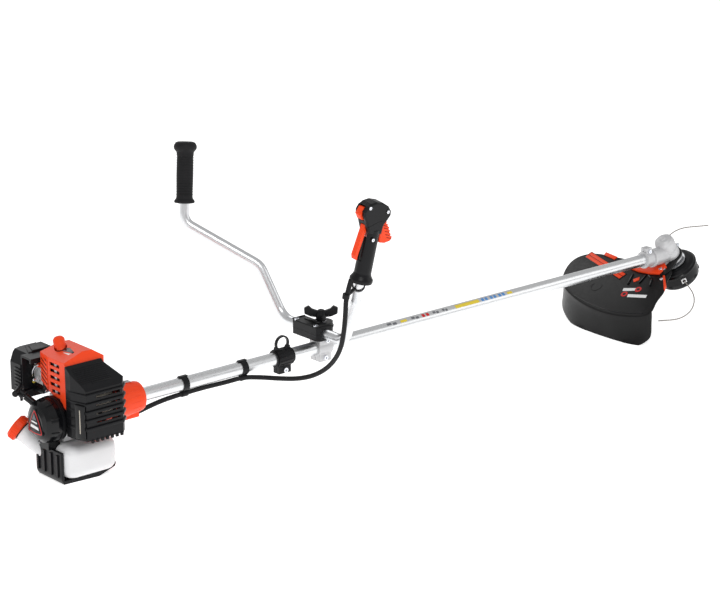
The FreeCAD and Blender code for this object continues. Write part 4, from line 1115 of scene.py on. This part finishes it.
@dataclass
class StarterLook:
    """Details of the recoil starter and of the fuel cap.

    Attributes:
        face: x of the starter's flat face.
        badge_half: half the badge's width.
        badge_high: height of its top above the shaft.
        badge_low: height of its foot, which is below the shaft.
        cap_base: the middle of the fuel cap's foot.
        cap_way: the direction in which the cap stands.
    """

    face: float = -247.0
    badge_half: float = 24.0
    badge_high: float = 28.0
    badge_low: float = -19.0
    cap_base: tuple[float, float, float] = (-232.16, 74.69, -39.54)
    cap_way: tuple[float, float, float] = (-0.4656, 0.6758, 0.5857)

    def build(self) -> None:
        """Makes every piece."""
        self._badge()
        self._dome()
        self._cap()

    def _triangle(self, shrink: float) -> list[tuple[float, float]]:
        """Gives the badge's outline: a triangle with bowed sides and rounded corners.

        Args:
            shrink: how far it lies inside the badge's edge.

        Returns:
            (y, z) pairs.
        """
        corners = [Vector((-self.badge_half + shrink * 1.5, self.badge_low + shrink)),
                   Vector((self.badge_half - shrink * 1.5, self.badge_low + shrink)),
                   Vector((0.0, self.badge_high - shrink * 2.0))]
        middle = (corners[0] + corners[1] + corners[2]) / 3
        outline = []
        for k, corner in enumerate(corners):
            ahead = corners[(k + 1) % 3]
            for step in range(7):
                share = 0.06 + 0.88 * step / 6
                point = corner.lerp(ahead, share)
                bow = 1 + 0.16 * math.sin(math.pi * share)
                point = middle + (point - middle) * bow
                outline.append((point.x, point.y))
        return outline

    def _badge(self) -> None:
        """Makes the badge: a red edge, a dark field and plain pale bars."""
        place = machine_place()
        for name, shrink, low, high, finish in (("badge_base", -1.6, 3.6, 1.4, BLACK_GLOSS),
                                                ("badge_edge", 0.0, 2.0, 1.9, RED),
                                                ("badge_field", 1.5, 2.0, 2.2, BLACK)):
            outline = [(self.face + low, y, z) for y, z in self._triangle(shrink)]
            plate = Shape().prism(outline, (-low - high, 0, 0), 0.3)
            plate.dress(name, finish, place)
        x = self.face - 2.1
        bars = Shape()
        bars.prism([(x, -14, -12), (x, 15, -10), (x, 13, -4), (x, -12, -6)], (-0.35, 0, 0))
        bars.prism([(x, -9, 0), (x, 11, 1), (x, 10, 4), (x, -8, 3)], (-0.35, 0, 0))
        bars.dress("badge_bars", WHITE, place)
        top = Shape().prism([(x, -6, 7), (x, 7, 7.5), (x, 1, 20)], (-0.35, 0, 0))
        top.dress("badge_top", GREY, place)

    def _dome(self) -> None:
        """Makes the starter's stepped rim and the ribs round it."""
        place = machine_place()
        rim = Shape().lathe([(0, 45.2), (0, 46.4), (5, 46.4), (6.5, 45.2)],
                            on_shaft(-212), 72)
        rim.dress("starter_rim", BLACK, place)
        rib = Shape().prism([(-236, 41.6, -1.5), (-236, 41.6, 1.5), (-219, 45.3, 1.5),
                             (-219, 45.3, -1.5)], (-2.2, 1.8, 0), 0.7)
        row("starter_ribs", rib, 9, BLACK_GLOSS, place, turn=(math.tau / 9, 0, 0))

    def _cap(self) -> None:
        """Makes the fuel cap's grip ribs and its raised top."""
        place = machine_place() @ axis_place(self.cap_base, self.cap_way)
        rib = Shape().box((24.9, -1.2, 1.5), (26.6, 1.2, 14.5), 0.4)
        row("fuel_cap_ribs", rib, 30, ORANGE, place, turn=(0, 0, math.tau / 30), body="fuel_cap")
        top = Shape().lathe([(18.4, 17.0), (19.6, 16.4), (19.6, 14.6), (18.7, 14.0)],
                            Matrix.Identity(4), 56)
        top.dress("fuel_cap_top", ORANGE, place, "fuel_cap")


@dataclass
class TubeLook:
    """Details along the drive tube: its printed marks, its label, two rings near its front end and the
    hanger's ribs.

    Attributes:
        radius: the tube's radius.
        marks: (start, length, kind) of each printed mark, along the tube.
    """

    radius: float = 14.0
    marks: tuple[tuple[float, float, str], ...] = (
        (652, 26, "dark"), (690, 22, "yellow"), (722, 20, "dark"), (752, 20, "red"), (784, 16, "dark"),
        (812, 14, "dark"), (850, 70, "yellow"), (928, 18, "blue"), (954, 18, "blue"), (980, 18, "blue"),
        (1006, 18, "yellow"))

    def build(self) -> None:
        """Makes every piece."""
        finishes = {"dark": GREY, "yellow": YELLOW, "red": RED, "blue": BLUE}
        place = machine_place()
        for kind, finish in finishes.items():
            print_shape = Shape()
            for start, length, name in self.marks:
                if name == kind:
                    self._patch(print_shape, start, length, kind)
            print_shape.dress("tube_print_" + kind, finish, place)
        top = Shape()
        self._band(top, 400.0, 454.0, 62.0, 118.0)
        top.dress("tube_label", GREY, machine_place())
        ring = Shape()
        for start in (1428.0, 1440.0):
            ring.lathe([(0, self.radius + 0.02), (0, self.radius + 0.5), (5, self.radius + 0.5),
                        (5, self.radius + 0.02)], on_shaft(start), 48)
        ring.dress("tube_rings", BAR, machine_place())
        self._hanger()

    def _patch(self, shape: Shape, start: float, length: float, kind: str) -> None:
        """Adds one printed mark: plain strokes that stand for it.

        Args:
            shape: what it is added to.
            start: its rear end along the tube.
            length: its length.
            kind: its colour's name.
        """
        if kind == "dark":
            self._band(shape, start, start + length * 0.45, 108.0, 132.0)
            self._band(shape, start + length * 0.6, start + length, 116.0, 140.0)
        elif kind == "yellow" and length > 40:
            self._band(shape, start, start + length, 104.0, 142.0)
        elif kind == "yellow":
            self._band(shape, start, start + length * 0.8, 112.0, 138.0)
        else:
            self._band(shape, start, start + length * 0.4, 106.0, 140.0)
            self._band(shape, start + length * 0.6, start + length, 106.0, 140.0)

    def _band(self, shape: Shape, start: float, end: float, low: float, high: float) -> None:
        """Adds a thin curved patch on the tube.

        Args:
            shape: what it is added to.
            start: its rear end along the tube.
            end: its front end.
            low: its first edge, in degrees from the left over the top.
            high: its last edge, in the same degrees.
        """
        turns = [math.radians(low + (high - low) * k / 8) for k in range(9)]
        outer = self.radius + 0.22
        outline = [(start, outer * math.cos(t), outer * math.sin(t)) for t in turns]
        inner = self.radius - 0.1
        outline += [(start, inner * math.cos(t), inner * math.sin(t)) for t in reversed(turns)]
        shape.prism(outline, (end - start, 0, 0))

    def _hanger(self) -> None:
        """Makes the hanger band's ribs."""
        place, x = machine_place(), 368.0
        rib = Shape().box((x - 17, 18.4, -1.6), (x + 17, 20.2, 1.6), 0.6)
        row("hanger_ribs", rib, 10, BLACK, place, turn=(math.radians(27), 0, 0))


@dataclass
class HandlebarLook:
    """Details of the grips, the throttle handle and the bar's mount.

    Attributes:
        grip_low: height of the left grip's lowest ring above the elbow.
        grip_pitch: from one ring to the next.
        grip_radius: radius of the grip.
        screw_places: (x, z) of the handle's screws.
    """

    grip_low: float = 58.0
    grip_pitch: float = 5.6
    grip_radius: float = 18.0
    screw_places: tuple[tuple[float, float], ...] = ((-25.0, 160.0), (24.0, 151.0), (-3.0, 94.0))

    def build(self) -> None:
        """Makes every piece."""
        self._grip()
        self._trigger()
        self._switch()
        self._housing()
        self._mount()

    def _grip(self) -> None:
        """Makes the left grip's raised rings."""
        place = grip_place(1)
        ring = Shape().lathe([(0, self.grip_radius - 1.4), (0.5, self.grip_radius + 0.5),
                              (2.2, self.grip_radius + 0.5), (2.9, self.grip_radius - 1.4)], sides=40)
        rings = repeated(ring, 16, RUBBER, step=(0, 0, self.grip_pitch))
        rings.transform(Matrix.Translation((0, 0, self.grip_low)))
        finish_piece("grip_rings", rings, RUBBER, place, "handlebar_unit")

    def _trigger(self) -> None:
        """Makes the grooved front of the throttle trigger: orange ridges, with dark orange painted
        shade in the grooves between them.
        """
        place = grip_place(-1)
        ridge = Shape()
        groove = Shape()
        for x, z in ((37.4, 120.6), (42.5, 114.5), (46.5, 107.5), (50.0, 100.5), (54.5, 94.3)):
            ridge.prism([(x - 3, -7.0, z + 2.6), (x + 2.4, -7.0, z + 0.8), (x + 2.8, -7.0, z - 0.9),
                         (x - 1, -7.0, z - 2.2)], (0, 14.0, 0), 0.6)
            # Dark orange strips between the ridges: painted shade in the grooves.
            groove.prism([(x - 12, -7.45, z + 0.2), (x - 0.4, -7.45, z - 2.3),
                          (x - 0.2, -7.45, z - 3.6), (x - 12, -7.45, z - 1.2)], (0, 14.9, 0))
        groove.dress("trigger_grooves", ORANGE_PAINTED_SHADE, place, "throttle_trigger")
        ridge.dress("trigger_ridges", ORANGE, place, "throttle_trigger")

    def _switch(self) -> None:
        """Makes the stop switch's bump."""
        place = grip_place(-1)
        bump = Shape()
        bump.prism([(-37, -5.5, 140), (-42.5, -5.5, 143), (-42.8, -5.5, 147), (-37, -5.5, 151)],
                   (0, 11, 0), 1.2)
        bump.dress("switch_bump", ORANGE, place, "stop_switch")

    def _housing(self) -> None:
        """Makes the throttle handle's screw wells, the raised line on its head, the sleeve on the bar
        and the flange at its foot.
        """
        place = grip_place(-1)
        wells = Shape()
        for x, z in self.screw_places:
            side = -15.5 if z > 100 else -17.0
            wells.lathe([(-1.4, 5.4), (0.5, 5.4), (0.9, 4.9), (0.9, 4.0), (-0.2, 3.6)],
                        axis_place((x, side, z), (0, -1, 0)), 32)
        wells.dress("screw_wells", BLACK_GLOSS, place, "handlebar_unit")
        arc = [(-22 + 44 * k / 10, -15.3, 118 + 14 * math.sin(math.pi * k / 20)) for k in range(11)]
        line = Shape().sweep(arc, 0.8, 8)
        line.dress("head_line", BLACK, place, "handlebar_unit")
        sleeve = Shape().lathe([(8, 10.9), (8, 11.4), (96, 11.4), (96, 10.9)], sides=40)
        sleeve.dress("bar_sleeve", BLACK, place, "handlebar_unit")
        foot = Shape().lathe([(-0.6, 19.0), (0, 22.4), (3, 23.6), (8, 23.6), (11, 21.6), (11, 19.0)],
                             Matrix.Translation((4.0, 0, 0)), 56)
        foot.dress("handle_flange", BLACK, place, "handlebar_unit")

    def _mount(self) -> None:
        """Makes the raised edges and ribs of the handlebar mount."""
        place = machine_place()
        ribs = Shape()
        ribs.plate([(430, -43), (464, -43), (464, -39.5), (430, -39.5)], 60.8, 2.2, 0.7)
        ribs.plate([(430, 39.5), (464, 39.5), (464, 43), (430, 43)], 60.8, 2.2, 0.7)
        ribs.plate([(448, -22), (456, -22), (456, 24), (448, 24)], 60.8, 2.6, 0.9)
        ribs.dress("mount_ribs", BLACK, place, "handlebar_unit")
        collar = Shape().lathe([(44.5, 22.3), (44.5, 23.6), (48, 23.6), (49.5, 22.3)],
                               Matrix.Translation((478.5, 0, 0)), 56)
        collar.dress("pad_collar", BLACK, place, "handlebar_unit")


@dataclass
class HeadLook:
    """Details of the gear case, the line head and its eyelets.

    Attributes:
        line_level: depth of the lines below the gear case's middle.
        eyelets: (x, y) of the two eyelets.
    """

    line_level: float = 54.0
    eyelets: tuple[tuple[float, float], ...] = ((-25.0, -46.0), (25.0, 46.0))

    def build(self) -> None:
        """Makes every piece."""
        self._eyelets()
        self._shell()
        self._case()

    def _eyelets(self) -> None:
        """Makes the two bright eyelets that the lines come out of."""
        rings = Shape()
        for x, y in self.eyelets:
            way = Vector((x, y, 0)).normalized()
            base = Vector((0, 0, -self.line_level)) + way * 50.4
            turn = axis_place(base, way) @ Matrix.Rotation(math.radians(45), 4, "Z")
            rings.lathe([(0, 8.6), (2.2, 8.6), (2.9, 7.4), (2.9, 4.6), (0.4, 3.6)], turn, 4, 0.5)
        rings.dress("line_eyelets", WHITE, head_place(), "cutter_head")
        wells = Shape()
        for x, y in self.eyelets:
            way = Vector((x, y, 0)).normalized()
            base = Vector((0, 0, -self.line_level)) + way * 50.3
            wells.lathe([(0, 4.2), (3.05, 4.2)], axis_place(base, way), 20)
        wells.dress("eyelet_wells", BLACK, head_place(), "cutter_head")

    def _shell(self) -> None:
        """Makes the head's grip ribs and its raised shoulder."""
        rib = Shape().box((49.4, -5.0, -70.0), (52.8, 5.0, -62.0), 1.4)
        row("head_ribs", rib, 9, BLACK, head_place(), turn=(0, 0, math.tau / 9), body="cutter_head")
        shoulder = Shape().lathe([(-44.0, 51.6), (-42.0, 53.6), (-38.6, 53.6), (-36.0, 51.2)], sides=72)
        shoulder.dress("head_shoulder", BLACK_GLOSS, head_place(), "cutter_head")

    def _case(self) -> None:
        """Makes the gear case's collars, the dome's cap and two rings round the case."""
        place = machine_place()
        collars = Shape()
        collars.lathe([(0, 19.0), (0.8, 22.0), (4.6, 22.6), (6.4, 20.8)], on_shaft(1474),
                      56)
        collars.lathe([(0, 14.2), (0, 19.8), (2.4, 20.4), (4.0, 18.6)], on_shaft(1449),
                      56)
        collars.dress("case_collars", CAST, place)
        cap = Shape()
        cap.lathe([(46.5, 9.4), (49.4, 9.0), (51.0, 6.0)], sides=36)
        cap.lathe([(10.5, 23.2), (12, 24.8), (15, 24.8), (16.5, 23.2)], sides=56)
        cap.lathe([(-17.5, 23.4), (-16.8, 27.2), (-12.4, 27.2), (-11.0, 24.8)], sides=56)
        cap.dress("case_cap", CAST, head_place())


@dataclass
class GuardLook:
    """The guard's smooth shell and what lies on it, in (back, left) pairs of the head's frame.

    Attributes:
        plate_edge: the top's outline.
        skirt_edge: the skirt's lower outline, point for point beside the top's.
        skirt_first: the first of those points that the skirt hangs from.
        skirt_last: the last.
        plate_depth: depth of the top.
        skirt_depth: depth of the skirt's edge.
        wall: thickness of the moulding.
    """

    plate_edge: tuple[tuple[float, float], ...] = (
        (38, -36), (76, -54), (107, -70), (139, -75), (172, -86), (190, -80), (205, -50), (216, 0),
        (218, 45), (214, 92), (202, 144), (182, 194), (153, 226), (118, 241), (90, 240), (68, 222),
        (55, 190), (48, 120), (42, 52), (38, 20))
    skirt_edge: tuple[tuple[float, float], ...] = (
        (30, -30), (76, -54), (120, -72), (150, -79), (184, -84), (208, -84), (236, -72), (251, -34),
        (254, 15), (253, 71), (242, 134), (213, 195), (179, 233), (136, 256), (98, 258), (70, 238),
        (52, 200), (44, 120), (38, 52), (30, 20))
    skirt_first: int = 4
    skirt_last: int = 15
    plate_depth: float = 9.0
    skirt_depth: float = 66.0
    wall: float = 3.0

    def build(self) -> None:
        """Makes every piece."""
        self._shell()
        self._bands()
        self._window()
        self._sticker()
        self._marks()
        self._saddle()

    def _saddle(self) -> None:
        """Makes the orange saddle, the strip beside the head and their two screws."""
        place = head_place()
        outline = [(73, 66), (48, 22), (33, 15), (29, -9), (39, -24), (64, -22), (72, 6), (75, 41)]
        saddle = Shape().plate([(-back, left) for back, left in outline], -8.2, 6.4, 1.6)
        strip = [(60, -34), (66, -33), (97, -62), (104, -69), (98, -66), (90, -63)]
        saddle.plate([(-back, left) for back, left in strip], -12.0, 7.0, 0.8)
        saddle.dress("guard_saddle", ORANGE, place)
        screws = Shape()
        for back, left, level in ((51.0, -15.0, -2.0), (75.0, -36.0, -8.0)):
            screws.lathe([(level, 4.6), (level + 2.0, 4.4), (level + 2.8, 3.2)],
                         Matrix.Translation((-back, left, 0)), 24)
        screws.dress("saddle_screws", ZINC, place)

    @staticmethod
    def _smooth(edge: Sequence[tuple[float, float]], steps: int) -> list[Vector]:
        """Rounds a closed outline through its points.

        Args:
            edge: its points.
            steps: how many parts each side is cut into.

        Returns:
            The finer outline, which starts at the first point.
        """
        points = [Vector(point) for point in edge]
        count = len(points)
        outline = []
        for k in range(count):
            before, here, after, beyond = (points[(k + j) % count] for j in (-1, 0, 1, 2))
            for step in range(steps):
                t = step / steps
                outline.append(0.5 * ((2 * here) + (after - before) * t
                                      + (2 * before - 5 * here + 4 * after - beyond) * t * t
                                      + (3 * here - before - 3 * after + beyond) * t ** 3))
        return outline

    def _shell(self) -> None:
        """Makes the guard's moulding: a top with a rolled edge and a flared skirt."""
        steps, rings = 6, 9
        top = self._smooth(self.plate_edge, steps)
        rim = self._smooth(self.skirt_edge, steps)
        first, last = self.skirt_first * steps, self.skirt_last * steps
        solid = bmesh.new()
        roll = 7.0
        centre = Vector((120.0, 80.0))
        loop = []
        inner = []
        for point in top:
            loop.append(solid.verts.new((-point.x, point.y, -self.plate_depth)))
            pulled = point + (centre - point).normalized() * roll
            inner.append(solid.verts.new((-pulled.x, pulled.y, -self.plate_depth + 1.6)))
        count = len(top)
        for k in range(count):
            solid.faces.new((loop[k - 1], loop[k], inner[k], inner[k - 1]))
        solid.faces.new(inner)
        rows = [loop[first:last + 1]]
        for ring in range(1, rings + 1):
            share = ring / rings
            bow = share ** 1.35
            row = []
            for k in range(first, last + 1):
                near_end = min(k - first, last - k) / (steps * 1.2)
                drop = share * (1 - 0.55 * max(0.0, 1 - near_end) ** 2)
                point = top[k].lerp(rim[k], min(1.0, bow))
                depth = self.plate_depth + (self.skirt_depth - self.plate_depth) * drop
                row.append(solid.verts.new((-point.x, point.y, -depth)))
            rows.append(row)
        for upper, lower in zip(rows, rows[1:]):
            for k in range(1, len(upper)):
                solid.faces.new((upper[k - 1], upper[k], lower[k], lower[k - 1]))
        bmesh.ops.recalc_face_normals(solid, faces=solid.faces)
        mesh = bpy.data.meshes.new("guard_shell")
        solid.to_mesh(mesh)
        solid.free()
        if mesh.polygons[count].normal.z < 0:
            mesh.flip_normals()
        carrier = bpy.data.objects.new("guard_carrier", mesh)
        bpy.context.scene.collection.objects.link(carrier)
        wall = carrier.modifiers.new("wall", "SOLIDIFY")
        wall.thickness = self.wall
        wall.offset = -1.0
        wall.use_even_offset = True
        edge = carrier.modifiers.new("edge", "BEVEL")
        edge.width = 1.1
        edge.segments = 2
        edge.limit_method = "ANGLE"
        edge.angle_limit = math.radians(50)
        bpy.context.view_layer.update()
        graph = bpy.context.evaluated_depsgraph_get()
        result = bpy.data.meshes.new_from_object(carrier.evaluated_get(graph))
        bpy.data.objects.remove(carrier)
        place = head_place()
        lowest = Vector(CAD_BOX[0]).z
        for vertex in result.vertices:
            spot = place @ vertex.co
            if spot.z < lowest:
                spot.z = lowest
                vertex.co = place.inverted() @ spot
        shell = finish_piece("guard_shell", result, BLACK_SATIN, place, "machine", 42.0)
        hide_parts("guard")

    def _top_level(self) -> float:
        """Gives the level that pieces on the guard's top start from, just inside it."""
        return -self.plate_depth + 1.2

    def _on_top(self, shape: Shape, outline: Sequence[tuple[float, float]], height: float,
                bevel: float = 0.3) -> None:
        """Adds a flat piece on the guard's top.

        Args:
            shape: what it is added to.
            outline: its (back, left) corners.
            height: how far it stands up.
            bevel: width of its edges' rounding.
        """
        shape.plate([(-back, left) for back, left in outline], self._top_level(), height, bevel)

    def _bands(self) -> None:
        """Makes the two orange bands that cross the top and the trim on its far edge."""
        start, end = Vector((68.0, 212.0)), Vector((101.0, 69.0))
        way = (end - start).normalized()
        side = Vector((-way.y, way.x))
        shape = Shape()
        for offset in (-9.6, 0.6):
            corners = [start + side * offset, end + side * offset, end + side * (offset + 9.0),
                       start + side * (offset + 9.0)]
            self._on_top(shape, [tuple(c) for c in corners], 2.2, 0.8)
        trim = Shape()
        self._on_top(trim, [(46, 172), (56, 170), (60, 132), (50, 130)], 2.6, 0.8)
        shape.dress("guard_bands", ORANGE, head_place())
        trim.dress("guard_trim", ORANGE, head_place())
        bed = Shape()
        corners = [start + side * -11.6 - way * 3, end + side * -11.6 + way * 3,
                   end + side * 11.4 + way * 3, start + side * 11.4 - way * 3]
        self._on_top(bed, [tuple(c) for c in corners], 1.2, 0.5)
        bed.dress("band_bed", BLACK_GLOSS, head_place())

    def _window(self) -> None:
        """Makes the small orange window with its raised black frame."""
        pane = Shape()
        self._on_top(pane, [(100, 35), (88, 24), (97, 18), (108, 27)], 1.5, 0.3)
        pane.dress("guard_window", ORANGE, head_place())
        rails = Shape()
        self._on_top(rails, [(84, 46), (88, 49), (120, 38), (117, 34)], 3.6, 1.0)
        self._on_top(rails, [(76, 10), (79, 13), (106, 12), (106, 8)], 3.6, 1.0)
        self._on_top(rails, [(74, 4), (78, 6), (86, -12), (82, -14)], 3.6, 1.0)
        self._on_top(rails, [(86, -12), (84, -16), (104, -26), (106, -22)], 3.6, 1.0)
        rails.dress("guard_rails", BLACK_GLOSS, head_place())

    def _sticker(self) -> None:
        """Makes a plain sticker of pale bars and two red spots."""
        bars = Shape()
        self._on_top(bars, [(133, 38), (122, 6), (130, 3), (142, 34)], 0.75, 0.0)
        self._on_top(bars, [(146, 12), (132, -38), (141, -41), (155, 8)], 0.75, 0.0)
        bars.dress("sticker_bars", WHITE, head_place())
        level = self._top_level()
        spots, hubs = Shape(), Shape()
        for back, left in ((149.0, 22.0), (124.0, -2.0)):
            place = Matrix.Translation((-back, left, 0))
            spots.lathe([(level, 8.5), (level + 0.85, 8.5)], place, 28)
            hubs.lathe([(level, 4.0), (level + 1.05, 4.0)], place, 24)
        spots.dress("sticker_spots", RED, head_place())
        hubs.dress("sticker_hubs", BLACK, head_place())

    def _marks(self) -> None:
        """Makes the small screw and the raised turning arrow near the top's middle."""
        level = self._top_level()
        head = Shape().lathe([(level, 4.2), (level + 2.2, 4.0), (level + 2.8, 3.0)],
                             Matrix.Translation((-141.5, 149.5, 0)), 24)
        head.dress("guard_screw", ZINC, head_place())
        arrow = [(-152 - 14 * math.cos(t), 112 + 14 * math.sin(t), level + 0.2)
                 for t in (math.radians(-120 + 240 * k / 16) for k in range(17))]
        ring = Shape().sweep(arrow, 0.9, 8)
        ring.dress("guard_arrow", BLACK_SATIN, head_place())
        ridge = [(x, y, level - 1.0) for x, y in (
            (-196, 150), (-206, 96), (-209, 42), (-206, 0), (-196, -44), (-186, -70))]
        crest = Shape().sweep(ridge, 2.4, 10)
        crest.dress("guard_crest", BLACK_GLOSS, head_place())


def main() -> None:
    """Builds the machine's looks in order."""
    logging.basicConfig(level=logging.INFO, format="%(name)s: %(message)s")
    Studio().build()
    Cords().build()
    dress_frame()
    for assembly in (EngineLook(), StarterLook(), TubeLook(), HandlebarLook(), HeadLook(),
                     GuardLook()):
        assembly.build()
        LOG.info("%s done", type(assembly).__name__)


if __name__ == "__main__":
    main()
